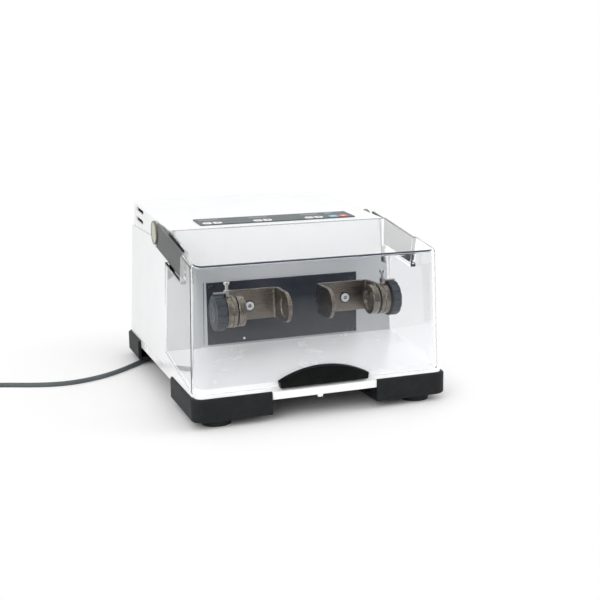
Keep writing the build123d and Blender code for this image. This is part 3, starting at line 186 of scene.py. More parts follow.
def noise(tree, where, scale, **more):
    """Noise over the surface, between 0 and 1. More are the node's inputs by name."""
    return put(tree, "ShaderNodeTexNoise", {"Vector": where, "Scale": scale, **more}).outputs["Fac"]


def blend(tree, factor, a, b):
    """A colour between a and b, each a socket or three numbers."""
    a, b = (c if isinstance(c, bpy.types.NodeSocket) else (*c, 1.0) for c in (a, b))
    mix = put(tree, "ShaderNodeMix", {0: factor, 6: a, 7: b}, data_type="RGBA")
    return mix.outputs[2]


def new_group(name, inputs, outputs):
    """An empty shader group with its sockets, its input node and its output node."""
    tree = bpy.data.node_groups.new(name, "ShaderNodeTree")
    for label, default in inputs.items():
        socket = tree.interface.new_socket(label, in_out="INPUT", socket_type="NodeSocketFloat")
        socket.default_value = default
    for label, kind in outputs.items():
        tree.interface.new_socket(label, in_out="OUTPUT", socket_type=kind)
    return tree, tree.nodes.new("NodeGroupInput"), tree.nodes.new("NodeGroupOutput")


def mix_shaders(tree, factor, a, b):
    """The node of a shader between those of nodes a and b."""
    return put(tree, "ShaderNodeMixShader", {0: factor, 1: a.outputs[0], 2: b.outputs[0]})


def show(tree, node):
    """Makes a node the material's surface."""
    tree.links.new(node.outputs[0], tree.nodes["Material Output"].inputs["Surface"])


def effect(tree, group, **values):
    """Puts a shared effect into a material and gives its outputs."""
    node = tree.nodes.new("ShaderNodeGroup")
    node.node_tree = bpy.data.node_groups[group]
    for name, value in values.items():
        node.inputs[name].default_value = value
    return node.outputs


# ---------------------------------------------------------------- shared effects
def make_grain_group():
    """Orange peel of a powder coat or the grain of a moulding, with a mottle in step with it."""
    tree, given, out = new_group(
        "Surface grain",
        {"Grains per metre": 900.0, "Patches per metre": 30.0},
        {"Height": "NodeSocketFloat", "Mottle": "NodeSocketFloat"},
    )
    where = object_place(tree)
    fine = noise(tree, where, given.outputs["Grains per metre"], Detail=2.0, Roughness=0.45)
    patches = noise(tree, where, given.outputs["Patches per metre"], Detail=4.0, Roughness=0.6)
    tree.links.new(fine, out.inputs["Height"])
    tree.links.new(spread(tree, patches, 0.3, 0.7, 0.0, 1.0), out.inputs["Mottle"])


def make_edge_group():
    """Rounded edges as a normal, and a mask that is 1 along edges, broken in places, where the
    finishes paint rubbed wear and a painted highlight.
    """
    tree, given, out = new_group(
        "Rubbed edges",
        {"Radius": 0.0008, "Breaks per metre": 160.0},
        {"Normal": "NodeSocketVector", "Rubbed": "NodeSocketFloat"},
    )
    rounded = put(tree, "ShaderNodeBevel", {"Radius": given.outputs["Radius"]}, samples=6)
    flat = put(tree, "ShaderNodeNewGeometry").outputs["Normal"]
    agree = vector_maths(tree, "DOT_PRODUCT", rounded.outputs[0], flat)["Value"]
    edge = spread(tree, agree, 0.995, 0.93, 0.0, 1.0)
    breaks = noise(tree, object_place(tree), given.outputs["Breaks per metre"], Detail=3.0)
    broken = spread(tree, breaks, 0.42, 0.62, 0.0, 1.0)
    tree.links.new(rounded.outputs[0], out.inputs["Normal"])
    tree.links.new(maths(tree, "MULTIPLY", edge, broken), out.inputs["Rubbed"])


def make_brush_group():
    """Fine lines of brushed or turned metal along X, Y or Z, with each axis' lines per metre."""
    tree, given, out = new_group(
        "Brushed lines",
        {"X": 60.0, "Y": 60.0, "Z": 2600.0},
        {"Height": "NodeSocketFloat", "Streaks": "NodeSocketFloat"},
    )
    counts = {axis: given.outputs[axis] for axis in "XYZ"}
    axes = put(tree, "ShaderNodeCombineXYZ", counts).outputs[0]
    stretched = vector_maths(tree, "MULTIPLY", object_place(tree), axes)[0]
    lines = noise(tree, stretched, 1.0, Detail=3.0, Roughness=0.55)
    tree.links.new(lines, out.inputs["Height"])
    tree.links.new(spread(tree, lines, 0.35, 0.65, 0.0, 1.0), out.inputs["Streaks"])


def make_handling_group():
    """Faint smears and dust, as a mask."""
    tree, given, out = new_group(
        "Handling marks", {"Smears per metre": 18.0}, {"Smears": "NodeSocketFloat"}
    )
    count = given.outputs["Smears per metre"]
    smears = noise(tree, object_place(tree), count, Detail=5.0, Roughness=0.65, Distortion=1.2)
    tree.links.new(spread(tree, smears, 0.45, 0.75, 0.0, 1.0), out.inputs["Smears"])


def make_groups():
    """Makes every shared effect."""
    for make in (make_grain_group, make_edge_group, make_brush_group, make_handling_group):
        make()


# ---------------------------------------------------------------- finishes
MOULDED_EDGE = 0.0006  # rounding of a moulding's edges
BRUSH_DEPTH = 0.00003
FACES = 0.7  # how far a surface looks along an axis where it counts as facing it
DUST = (0.30, 0.30, 0.29)
CLEAR = (0.985, 0.99, 1.0)
CLEAR_SHADOW = (0.98, 0.982, 0.988)
CLEAR_IOR = 1.49
HOOD_FRONT_EDGE = (-0.2145, 0.2170)  # y and z of the hood's front top edge
EDGE_REACH = 0.0026  # metres from that edge to where its painted highlight ends
EDGE_HIGHLIGHT_GLOW = 0.03  # how much of the painted highlight's colour glows


def new_material(name):
    """A material with its node tree and its shader."""
    material = bpy.data.materials.new(name)
    material.use_nodes = True
    tree = material.node_tree
    return material, tree, tree.nodes["Principled BSDF"]


def feed(tree, shader, **sockets):
    """Links or sets the shader's sockets, named with _ for a space."""
    fill(tree, shader, {name.replace("_", " "): value for name, value in sockets.items()})


def toned(tone, times, more=0.0):
    """A colour times as bright and a little more, up to white."""
    return tuple(min(1.0, c * times + more) for c in tone)


def part_of(tree, mask, share):
    """A share of a mask."""
    return maths(tree, "MULTIPLY", mask, share)


def bump(tree, height, depth, normal):
    """A normal with the height's relief, depth metres deep, on top of another normal."""
    inputs = {"Height": height, "Distance": depth, "Normal": normal}
    return put(tree, "ShaderNodeBump", inputs).outputs["Normal"]


def coat(
    name,
    paint,
    roughness,
    peel=700.0,
    depth=0.00006,
    edge=0.0008,
    wear_and_highlight=0.25,
    below=None,
    smear=0.06,
):
    """Powder coat or satin paint: orange peel, slow mottle, lighter edges that are partly rubbed
    wear and partly a painted highlight, smears in its gloss.

    Below is a near black painted on faces that look down, as painted shade underneath.
    """
    material, tree, shader = new_material(name)
    grain = effect(tree, "Surface grain", **{"Grains per metre": peel, "Patches per metre": 22.0})
    edges = effect(tree, "Rubbed edges", Radius=edge)
    marks = effect(tree, "Handling marks")
    shade = toned(paint, 0.955)
    body = blend(tree, part_of(tree, grain["Mottle"], 0.55), paint, shade)
    tone = blend(tree, part_of(tree, edges["Rubbed"], wear_and_highlight), body, toned(paint, 1.12, 0.02))
    if below:
        tone = blend(tree, maths(tree, "LESS_THAN", facing_axis(tree, "Z"), -FACES), tone, below)
    mottled = spread(tree, grain["Mottle"], 0.0, 1.0, roughness - 0.03, roughness + 0.03)
    rough = maths(tree, "ADD", mottled, part_of(tree, marks["Smears"], smear))
    normal = bump(tree, grain["Height"], depth, edges["Normal"])
    feed(tree, shader, Base_Color=tone, Roughness=rough, Normal=normal)
    return material


def moulding(name, plastic, roughness, grains=2600.0, depth=0.00005, shine=0.35, side_highlight=None):
    """Moulded plastic: spark-eroded grain, faint dust, polished edges that are lighter, partly from
    wear and partly as a painted highlight.

    The colour given for faces that look left or right is laid on them as a painted highlight.
    """
    material, tree, shader = new_material(name)
    grain = effect(tree, "Surface grain", **{"Grains per metre": grains, "Patches per metre": 60.0})
    edges = effect(tree, "Rubbed edges", Radius=MOULDED_EDGE)
    marks = effect(tree, "Handling marks", **{"Smears per metre": 35.0})
    light = toned(plastic, 1.35, 0.006)
    body = blend(tree, part_of(tree, grain["Mottle"], 0.4), plastic, light)
    dusty = blend(tree, part_of(tree, marks["Smears"], 0.02), body, DUST)
    tone = blend(tree, part_of(tree, edges["Rubbed"], 0.35), dusty, light)
    if side_highlight:
        sideways = maths(tree, "ABSOLUTE", facing_axis(tree, "X"))
        tone = blend(tree, maths(tree, "GREATER_THAN", sideways, FACES), tone, side_highlight)
    mottled = spread(tree, grain["Mottle"], 0.0, 1.0, roughness - 0.04, roughness + 0.05)
    rough = maths(tree, "SUBTRACT", mottled, part_of(tree, edges["Rubbed"], 0.12))
    feed(
        tree,
        shader,
        Base_Color=tone,
        Roughness=rough,
        Specular_IOR_Level=shine,
        Normal=bump(tree, grain["Height"], depth, edges["Normal"]),
    )
    return material


def metal(
    name,
    tone,
    roughness,
    lines=(60.0, 60.0, 2600.0),
    edge=0.0005,
    dull=0.72,
    rub=1.5,
    metallic=1.0,
):
    """Brushed or turned metal, with lines per metre along each axis.

    Dull and rub are how bright its streaks and its edges are beside the tone; the bright edges are
    partly rubbed wear and partly a painted highlight.
    """
    material, tree, shader = new_material(name)
    brushed = effect(tree, "Brushed lines", **dict(zip("XYZ", lines)))
    edges = effect(tree, "Rubbed edges", Radius=edge)
    marks = effect(tree, "Handling marks", **{"Smears per metre": 45.0})
    darker = toned(tone, dull)
    body = blend(tree, brushed["Streaks"], darker, tone)
    smeared = blend(tree, part_of(tree, marks["Smears"], 0.35), body, darker)
    bright = blend(tree, part_of(tree, edges["Rubbed"], 0.6), smeared, toned(tone, rub, 0.05))
    streaked = spread(tree, brushed["Streaks"], 0.0, 1.0, roughness - 0.05, roughness + 0.06)
    rough = maths(tree, "ADD", streaked, part_of(tree, marks["Smears"], 0.08))
    normal = bump(tree, brushed["Height"], BRUSH_DEPTH, edges["Normal"])
    feed(tree, shader, Base_Color=bright, Metallic=metallic, Roughness=rough, Normal=normal)
    return material


def near_hood_edge(tree):
    """A mask that is 1 along the hood's front top edge and fades out at EDGE_REACH."""
    where = object_place(tree)
    squares = []
    for axis, middle in zip("YZ", HOOD_FRONT_EDGE):
        off = maths(tree, "SUBTRACT", along(tree, where, axis), middle)
        squares.append(maths(tree, "MULTIPLY", off, off))
    away = maths(tree, "SQRT", maths(tree, "ADD", *squares))
    return spread(tree, away, EDGE_REACH / 2, EDGE_REACH, 1.0, 0.0)


def clear_sheet(name, edge_highlight):
    """Clear moulding of the hood. Lamps shine through it, and its front edge has a painted bluish
    highlight that glows faintly.
    """
    material, tree, shader = new_material(name)
    marks = effect(tree, "Handling marks", **{"Smears per metre": 14.0})
    edge = near_hood_edge(tree)
    feed(
        tree,
        shader,
        Base_Color=blend(tree, edge, CLEAR, edge_highlight),
        Roughness=spread(tree, marks["Smears"], 0.0, 1.0, 0.008, 0.03),
        IOR=CLEAR_IOR,
        Transmission_Weight=1.0,
        # the faint glow of the front edge's painted highlight
        Emission_Color=blend(tree, edge, (0.0, 0.0, 0.0), toned(edge_highlight, EDGE_HIGHLIGHT_GLOW)),
        Emission_Strength=1.0,
    )
    through = put(tree, "ShaderNodeBsdfTransparent", {"Color": (*CLEAR_SHADOW, 1.0)})
    shadow = put(tree, "ShaderNodeLightPath").outputs["Is Shadow Ray"]
    show(tree, mix_shaders(tree, shadow, shader, through))
    return material


def finish_nodes(material, *names):
    """Gives the CAD nodes of these names one material."""
    for name in names:
        mesh = NODES[name].data
        mesh.materials.clear()
        mesh.materials.append(material)


def both(*names):
    """The left and the right node of each name."""
    return [f"{name}_{side}" for name in names for side in ("left", "right")]


# ---------------------------------------------------------------- fittings, in millimetres
# What is on both sides is given for the right. A profile's points are (radius, height), an
# outline's are on the X and Y of its place, and a sheet is how thick a flat fitting is and how
# far its edges are softened.
SIDES = (("left", -1.0), ("right", 1.0))  # and which way each is along X
FORWARD = (0, -1, 0)
LATHE_STEPS = 40
CORNER_STEPS = 5
SHARP_FROM = math.radians(35)  # the angle from which an edge is shaded as one
RIM_FROM = math.radians(60)  # the angle from which an edge is softened
PAN_HEAD = [(0.0, -0.2), (3.3, -0.2), (3.2, 0.8), (2.6, 1.5), (1.5, 1.7), (1.2, 0.7), (0.0, 0.7)]

# cover, with its vents and its keypad
COVER_FRONT = (-53.0, 246.9)  # y and z of its front top edge
COVER_SLOPE = 0.0682  # its rise to the rear
# a near black sheet behind each side's vents, which paints the shade inside the housing there
VENT_SHADE_AT = (164.0, 165.0, 247.0)
VENT_SHADE_OBLONG = (66.0, 20.0, 1.5)  # across, up and the radius of its corners, as for each oblong
VENT_SHADE_SHEET = (0.8, 0.2)
KEYPAD_PROUD = 1.4
STATUS_AT = (98.5, 4.5)
STATUS_WINDOW = (13.0, 7.0, 1.2)
DISPLAYS_AT = ((-98.4, 0.0), (-19.4, 0.0), (64.2, 0.0))
DISPLAY = (30.0, 11.0, 1.2)
WINDOW_SHEET = (0.15, 0.05)
MINUS = [(-2.8, -0.6), (2.8, -0.6), (2.8, 0.6), (-2.8, 0.6)]
PLUS = [
    (2.8, 0.6),
    (0.6, 0.6),
    (0.6, 2.8),
    (-0.6, 2.8),
    (-0.6, 0.6),
    (-2.8, 0.6),
    (-2.8, -0.6),
    (-0.6, -0.6),
    (-0.6, -2.8),
    (0.6, -2.8),
    (0.6, -0.6),
    (2.8, -0.6),
]
START_MARK = [(-2.2, -2.6), (2.6, 0.0), (-2.2, 2.6)]
STOP_MARK = [(-2.2, -2.2), (2.2, -2.2), (2.2, 2.2), (-2.2, 2.2)]
MARK_SHEET = (0.12, 0.03)

# hood arms and pivot caps
ARM_PIVOT = (28.0, 234.5)  # y and z
ARM_BELOW_LEVEL = math.radians(9.3)
# a black sheet under each arm shows round it as a dark outline, painted shade in the gaps there
ARM_SHADE_START = {"left": -172.15, "right": 172.95}  # it thickens to the left from there
ARM_SHADE_OUTLINE = [(84.0, -17.5), (173.6, -15.7), (175.6, 22.3), (84.0, 22.3)]
ARM_SHADE_SHEET = (0.8, 0.15)
CAP_FACE = (177.0, *ARM_PIVOT)
# a ring round each cap in darkened cream, painted shade at the cap's rim
CAP_RIM_SHADE = [
    (16.3, -0.4),
    (16.3, 0.45),
    (17.6, 0.45),
    (18.1, -0.2),
    (18.1, -2.9),
    (17.6, -2.9),
    (17.6, -0.4),
]

# slotted plate
PLATE_FRONT = -55.0
PLATE_SCREWS = ((-112.5, 77.7), (113.5, 77.7), (-112.5, 159.5), (113.5, 159.5))
PLATE_STUD = (-63.2, 77.7)
STUD_HEAD = [(0.0, -0.2), (1.9, -0.2), (1.8, 1.1), (1.2, 1.7), (0.0, 1.8)]

# jar holders
HOLDER_SCREW = (74.0, -121.0, 141.0)
# a black ring round each holder screw and a black disc in its socket, painted shade there
SCREW_SHADE_RING = [(6.36, 0.0), (6.36, 0.55), (8.0, 0.55), (8.2, 0.0)]
SOCKET_SHADE = [(0.0, 0.62), (2.5, 0.62), (2.5, 0.8), (0.0, 0.8)]
SOCKET_PIN = [(0.0, 0.7), (0.95, 0.7), (0.85, 1.9), (0.0, 2.0)]
KNOB_FACE = (138.1, -158.0, 143.0)
KNOB_END = [
    (0.0, -0.2),
    (14.5, -0.2),
    (14.4, 0.4),
    (13.8, 0.6),
    (11.5, 0.55),
    (10.8, 0.25),
    (0.0, 0.2),
]
LATCH_AT = (121.0, -154.5, 169.3)
LATCH = [(0.0, 0.0), (15.6, 0.0), (16.0, 0.9), (15.6, 1.8), (0.0, 1.8)]
LATCH_SHEET = (7.0, 0.25)

# rear wall
REAR_WALL = ((40.0, 226.0), (225.0, 225.0))  # (z, y) at its foot and at its top
REAR_SCREWS = ((-150.0, 60.0), (150.0, 60.0), (-145.0, 205.0), (145.0, 205.0))
RATING_AT = (0.0, 70.0)
RATING_PLATE = (62.0, 34.0, 3.0)
RATING_SHEET = (0.6, 0.15)


def facing(spot, outward):
    """A place at spot, scaled to millimetres, whose Z points outward and whose Y points up."""
    aim = Vector(outward).to_track_quat("Z", "Y").to_matrix().to_4x4()
    return Matrix.Translation(Vector(spot) * MM) @ aim @ Matrix.Scale(MM, 4)


def on_side(x, spot, outward=None):
    """A place at spot, mirrored if x is -1, that looks outward or else straight out sideways."""
    return facing((x * spot[0], *spot[1:]), outward or (x, 0, 0))


def tilted(spot, slope):
    """A place at spot in metres, scaled to millimetres, that rises to the rear by slope radians."""
    return Matrix.Translation(spot) @ Matrix.Rotation(slope, 4, "X") @ Matrix.Scale(MM, 4)


def along_arm(x):
    """A place at the hinge on the plane of x, with X forward along the arm and Z to the left."""
    axes = Matrix(((0, 0, -1, 0), (-1, 0, 0, 0), (0, 1, 0, 0), (0, 0, 0, 1)))
    return tilted(Vector((x, *ARM_PIVOT)) * MM, ARM_BELOW_LEVEL) @ axes


def on_rear(x, z):
    """A place on the rear wall, which leans in a little towards its top."""
    (low, y_low), (high, y_high) = REAR_WALL
    y = y_low + (y_high - y_low) * (z - low) / (high - low)
    return facing((x, y, z), (0, high - low, y_low - y_high))


def on_cover(x, y, proud):
    """A place on the sloping cover, proud of it, with Y up the slope."""
    z = COVER_FRONT[1] + COVER_SLOPE * (y - COVER_FRONT[0]) + proud
    return tilted(Vector((x, y, z)) * MM, math.atan(COVER_SLOPE))


def key_top(name):
    """The middle of a key's sloping top face."""
    low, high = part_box(name)
    middle = (low + high) / 2
    top = max(v.co.z - COVER_SLOPE * (v.co.y - middle.y) for v in NODES[name].data.vertices)
    return tilted((middle.x, middle.y, top), math.atan(COVER_SLOPE))


def new_piece(name, shape, finish, body):
    """Makes a piece of a bmesh, shaded softly over its rounded edges, and puts it on its body."""
    mesh = bpy.data.meshes.new(name)
    bmesh.ops.recalc_face_normals(shape, faces=shape.faces)
    shape.to_mesh(mesh)
    shape.free()
    mesh.shade_smooth()
    mesh.set_sharp_from_angle(angle=SHARP_FROM)
    mesh.materials.append(finish)
    piece = bpy.data.objects.new(name, mesh)
    bpy.context.scene.collection.objects.link(piece)
    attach(piece, body)
    return piece


def lathe(name, spot, profile, finish, body, ring=False):
    """Turns (radius, height) points round spot's Z. A ring's profile closes on itself."""
    shape = bmesh.new()
    rings = []
    for radius, height in profile:
        count = LATHE_STEPS if radius else 1
        angles = [2 * math.pi * k / count for k in range(count)]
        corners = [(radius * math.cos(a), radius * math.sin(a), height) for a in angles]
        rings.append([shape.verts.new(spot @ Vector(corner)) for corner in corners])
    for low, high in zip(rings, rings[1:] + (rings[:1] if ring else [])):
        for k in range(LATHE_STEPS):
            quad = ((low, k), (low, k + 1), (high, k + 1), (high, k))
            # a ring of radius 0 is one point, so two corners may be the same
            shape.faces.new(dict.fromkeys(loop[i % len(loop)] for loop, i in quad))
    return new_piece(name, shape, finish, body)


def oblong(across, up, round_by):
    """The outline of a rectangle with rounded corners."""
    points = []
    for quarter, (sx, sy) in enumerate(((1, 1), (-1, 1), (-1, -1), (1, -1))):
        for k in range(CORNER_STEPS + 1):
            a = (quarter + k / CORNER_STEPS) * math.pi / 2
            x = sx * (across / 2 - round_by) + round_by * math.cos(a)
            y = sy * (up / 2 - round_by) + round_by * math.sin(a)
            points.append((x, y))
    return points


def slab(name, spot, outlines, sheet, finish, body):
    """Flat shapes of these outlines on spot's X and Y, thick up its Z, with softened edges."""
    thick, soft = sheet
    shape = bmesh.new()
    for outline in outlines:
        below = [shape.verts.new(spot @ Vector((x, y, 0.0))) for x, y in outline]
        above = [shape.verts.new(spot @ Vector((x, y, thick))) for x, y in outline]
        shape.faces.new(below[::-1])
        shape.faces.new(above)
        for a, b, c, d in zip(below, below[1:] + below[:1], above[1:] + above[:1], above):
            shape.faces.new((a, b, c, d))
    rims = [edge for edge in shape.edges if edge.calc_face_angle(0.0) > RIM_FROM]
    bmesh.ops.bevel(shape, geom=rims, offset=soft * MM, segments=2, profile=0.5, affect="EDGES")
    return new_piece(name, shape, finish, body)


def bright_zinc():
    """The zinc of the small screws, made once."""
    name = "Bright zinc"
    tone = (0.80, 0.83, 0.84)
    lines = (300.0, 300.0, 300.0)
    return bpy.data.materials.get(name) or metal(
        name, tone, 0.34, lines=lines, dull=0.9, metallic=0.35
    )


# ---------------------------------------------------------------- pieces
class MILL_OT_housing(bpy.types.Operator):
    """Finishes the base, the housing and the cover in white powder coat"""

    bl_idname = "mill.housing"
    bl_label = "Housing"

    def execute(self, context):
        colours = context.scene.mill_colours
        sizes = context.scene.mill_sizes
        enamel = coat("White enamel", colours.enamel, 0.36, edge=sizes.edge_radius)
        finish_nodes(enamel, "housing_shell", "top_cover")
        tray = coat(
            "Tray enamel",
            colours.tray,
            0.15,
            depth=0.00003,
            edge=sizes.edge_radius,
            # near black on the tray's underside, painted shade under the mill
            below=(0.012, 0.011, 0.010),
            smear=0.2,
        )
        finish_nodes(tray, "base_tray")
        charcoal = moulding(
            "Charcoal plastic", colours.bumper, 0.5, grains=1800.0, depth=0.00009, shine=0.1
        )
        finish_nodes(charcoal, *both("bumper_front", "bumper_rear"))
        rubber = moulding("Foot rubber", (0.012, 0.012, 0.012), 0.75, grains=3200.0)
        finish_nodes(rubber, "feet")
        # near black sheet behind the vents, painted shade inside the housing
        vent_shade_black = moulding("Vent baffle", (0.004, 0.004, 0.005), 0.9, grains=1200.0, shine=0.05)
        for side, x in SIDES:
            spot = on_side(x, VENT_SHADE_AT)
            outlines = [oblong(*VENT_SHADE_OBLONG)]
            name = f"vent_baffle_{side}"
            slab(name, spot, outlines, VENT_SHADE_SHEET, vent_shade_black, "mill")
        return {"FINISHED"}


class MILL_OT_chamber(bpy.types.Operator):
    """Finishes the chamber's wall and its slotted plate"""

    bl_idname = "mill.chamber"
    bl_label = "Chamber"

    def execute(self, context):
        colours = context.scene.mill_colours
        wall = coat("Grey enamel", colours.wall, 0.34, peel=900.0, depth=0.00003)
        finish_nodes(wall, "back_panel")
        plate = moulding(
            "Slotted plate",
            colours.slotted,
            0.2,
            grains=1500.0,
            depth=0.00002,
            # light grey on the plate's left and right edges, a painted highlight where they catch
            # the light
            side_highlight=(0.62, 0.64, 0.65),
        )
        finish_nodes(plate, "slot_plate")
        black = moulding("Black screws", (0.02, 0.022, 0.026), 0.3, grains=900.0, depth=0.00001)
        for number, (x, z) in enumerate(PLATE_SCREWS, 1):
            spot = facing((x, PLATE_FRONT, z), FORWARD)
            lathe(f"plate_screw_{number}", spot, PAN_HEAD, black, "mill")
        spot = facing((PLATE_STUD[0], PLATE_FRONT, PLATE_STUD[1]), FORWARD)
        lathe("plate_stud", spot, STUD_HEAD, bright_zinc(), "mill")
        return {"FINISHED"}


class MILL_OT_hood(bpy.types.Operator):
    """Finishes the clear hood, its grip, its arms and the caps on its hinge"""

    bl_idname = "mill.hood"
    bl_label = "Hood"

    def execute(self, context):
        colours = context.scene.mill_colours
        finish_nodes(clear_sheet("Clear hood", colours.hood_edge_highlight), "hood")
        grip = moulding(
            "Black grip", colours.grip, 0.36, grains=1400.0, depth=0.00002, shine=0.08
        )
        finish_nodes(grip, "hood_grip")
        arm = coat("Satin grey", colours.arm, 0.42, peel=1200.0, depth=0.00002, wear_and_highlight=0.5)
        finish_nodes(arm, *both("hood_arm"))
        cap = moulding("Cream plastic", colours.cap, 0.28, grains=500.0, depth=0.00002)
        finish_nodes(cap, *both("pivot_cap"))
        finish_nodes(metal("Hinge steel", (0.5, 0.5, 0.51), 0.3), "hinge_pins")
        # black sheet under each arm, painted shade as a dark outline round it
        rubber = moulding("Arm gasket", (0.006, 0.006, 0.007), 0.6, grains=2200.0, shine=0.12)
        # the cap's cream darkened to a third, for the painted shade of its rim
        rim = moulding("Cap rim", toned(colours.cap, 0.32), 0.4, grains=700.0)
        for side, x in SIDES:
            spot = along_arm(ARM_SHADE_START[side])
            name = f"arm_gasket_{side}"
            slab(name, spot, [ARM_SHADE_OUTLINE], ARM_SHADE_SHEET, rubber, "hood")
            spot = on_side(x, CAP_FACE)
            lathe(f"cap_rim_{side}", spot, CAP_RIM_SHADE, rim, "mill", ring=True)
        return {"FINISHED"}


class MILL_OT_holders(bpy.types.Operator):
    """Finishes the two jar holders with their screws, clamps, knobs and lock pins"""

    bl_idname = "mill.holders"
    bl_label = "Jar holders"

    def execute(self, context):
        colours = context.scene.mill_colours
        bronze = colours.holder
        lines = (40.0, 40.0, 2200.0)
        # rub=2.4 makes the edges of brackets and discs bright, partly rubbed wear and partly a
        # painted highlight
        strip = metal("Bronzed steel", bronze, 0.28, lines=lines, edge=0.0014, rub=2.4)
        finish_nodes(strip, *both("holder_bracket"))
        lines = (2400.0, 50.0, 50.0)
        turned = metal("Turned bronze", bronze, 0.22, lines=lines, edge=0.0012, rub=2.4)
        finish_nodes(turned, *both("clamp_disc"))
        zinc = bright_zinc()
        finish_nodes(zinc, *both("holder_screw"))
        lines = (80.0, 80.0, 1800.0)
        pin = metal("Nickelled pin", (0.72, 0.71, 0.69), 0.12, lines=lines, rub=1.7)
        finish_nodes(pin, *both("lock_pin", "lock_pin_guide"))
        knob = moulding("Slate plastic", colours.knob, 0.4, grains=1500.0)
        finish_nodes(knob, *both("clamp_knob"))
        tone = toned(colours.knob, 1.5)
        end = moulding("Slate end", tone, 0.3, grains=900.0, depth=0.00002)
        # black for the ring round each holder screw and the disc in its socket, painted shade there
        dark = moulding("Blackened steel", (0.012, 0.012, 0.013), 0.4)
        for side, x in SIDES:
            holder = f"holder_{side}"
            knob_body = f"clamp_knob_{side}"
            screw = on_side(x, HOLDER_SCREW, FORWARD)
            lathe(f"screw_washer_{side}", screw, SCREW_SHADE_RING, dark, holder, ring=True)
            lathe(f"socket_floor_{side}", screw, SOCKET_SHADE, dark, holder)
            lathe(f"socket_pin_{side}", screw, SOCKET_PIN, zinc, holder)
            knob_face = on_side(x, KNOB_FACE)
            lathe(f"knob_end_{side}", knob_face, KNOB_END, end, knob_body)
            latch = on_side(x, LATCH_AT, FORWARD)
            # the left one is mirrored and runs backwards, so that it too goes anticlockwise
            outline = [(x * u, v) for u, v in LATCH][:: int(x)]
            slab(f"latch_{side}", latch, [outline], LATCH_SHEET, pin, holder)
        return {"FINISHED"}


class MILL_OT_drive(bpy.types.Operator):
    """Finishes the drive inside the housing"""

    bl_idname = "mill.drive"
    bl_label = "Drive"

    def execute(self, context):
        cast = coat("Cast metal", (0.42, 0.43, 0.44), 0.55, peel=900.0, depth=0.0002, wear_and_highlight=0.6)
        finish_nodes(cast, "drive_frame", *both("rocker_arm", "connecting_rod"))
        ground = metal("Ground steel", (0.56, 0.56, 0.57), 0.24, lines=(60.0, 60.0, 2400.0))
        finish_nodes(ground, "pivot_shafts", "eccentric_shaft", "flywheel")
        finish_nodes(coat("Motor black", (0.02, 0.02, 0.022), 0.4), "motor")
        finish_nodes(moulding("Board laminate", (0.015, 0.12, 0.045), 0.35), "control_board")
        return {"FINISHED"}


class MILL_OT_keypad(bpy.types.Operator):
    """Finishes the keypad and its keys"""

    bl_idname = "mill.keypad"
    bl_label = "Keypad"

    def execute(self, context):
        colours = context.scene.mill_colours
        foil = moulding(
            "Keypad foil", colours.keypad, 0.4, grains=1500.0, depth=0.00002, shine=0.12
        )
        finish_nodes(foil, "keypad")
        white = moulding("White key", (0.80, 0.80, 0.80), 0.3, depth=0.00001)
        marked = moulding("Key marks", (0.05, 0.055, 0.06), 0.4, depth=0.00001, shine=0.2)
        blue = moulding("Blue key", colours.key_blue, 0.3, depth=0.00001)
        red = moulding("Red key", colours.key_red, 0.3, depth=0.00001)
        keys = [
            (f"key_{number}_{sign}", white, mark, marked, "black_plastic")
            for number in (1, 2, 3)
            for sign, mark in (("minus", MINUS), ("plus", PLUS))
        ]
        keys.append(("start_key", blue, START_MARK, white, "key_white"))
        keys.append(("stop_key", red, STOP_MARK, white, "key_white"))
        for key, plastic, mark, ink, slot in keys:
            finish_nodes(plastic, key)
            name = f"mark_{key.removeprefix('key_')}"
            slab(name, key_top(key), [mark], MARK_SHEET, ink, key)
        window = moulding("Status window", (0.16, 0.26, 0.38), 0.25, depth=0.00001)
        lens = moulding("Display window", (0.012, 0.013, 0.016), 0.15, depth=0.00001)
        windows = [("status_window", STATUS_AT, STATUS_WINDOW, window, "key_blue")]
        for number, spot in enumerate(DISPLAYS_AT, 1):
            windows.append((f"display_{number}", spot, DISPLAY, lens, "black_plastic"))
        for name, spot, size, pane, slot in windows:
            glass = on_cover(*spot, KEYPAD_PROUD)
            slab(name, glass, [oblong(*size)], WINDOW_SHEET, pane, "mill")
        return {"FINISHED"}


class MILL_OT_rear(bpy.types.Operator):
    """Finishes the mains inlet, the switch, the fan and the plug"""

    bl_idname = "mill.rear"
    bl_label = "Rear"

    def execute(self, context):
        black = moulding("Black plastic", (0.012, 0.012, 0.013), 0.42)
        finish_nodes(black, "mains_inlet", "fan_frame", "fan_rotor", "mains_switch")
        finish_nodes(black, "mains_connector", "strain_relief", "cord_plug")
        finish_nodes(black, "fuse_drawer", "switch_bezel")
        zinc = bright_zinc()
        for number, (x, z) in enumerate(REAR_SCREWS, 1):
            lathe(f"rear_screw_{number}", on_rear(x, z), PAN_HEAD, zinc, "mill")
        lines = (60.0, 60.0, 3000.0)
        blank = metal("Brushed plate", (0.62, 0.63, 0.64), 0.34, lines=lines, dull=0.92)
        spot = on_rear(*RATING_AT)
        outlines = [oblong(*RATING_PLATE)]
        slab("rating_plate", spot, outlines, RATING_SHEET, blank, "mill")
        return {"FINISHED"}


# ---------------------------------------------------------------- mains lead
# metres
CONNECTOR_END = Vector((-0.095, 0.255, 0.0903525))
LAST_BEND = Vector((-0.416, 0.095, 0.00375))
COIL_START = Vector((-0.476, 0.112, 0.00375))
# x and y of the bends that lie on the bench
BENCH_BENDS = (
    (-0.095, 0.305),
    (-0.093, 0.252),
    (-0.106, 0.195),
    (-0.160, 0.172),
    (-0.206, 0.1204),
    (-0.252, 0.081),
    (-0.305, 0.0605),
    (-0.352, 0.066),
)
COIL_GAP = 0.0005  # between turns
POINTS_EACH = 8  # control points of a half turn

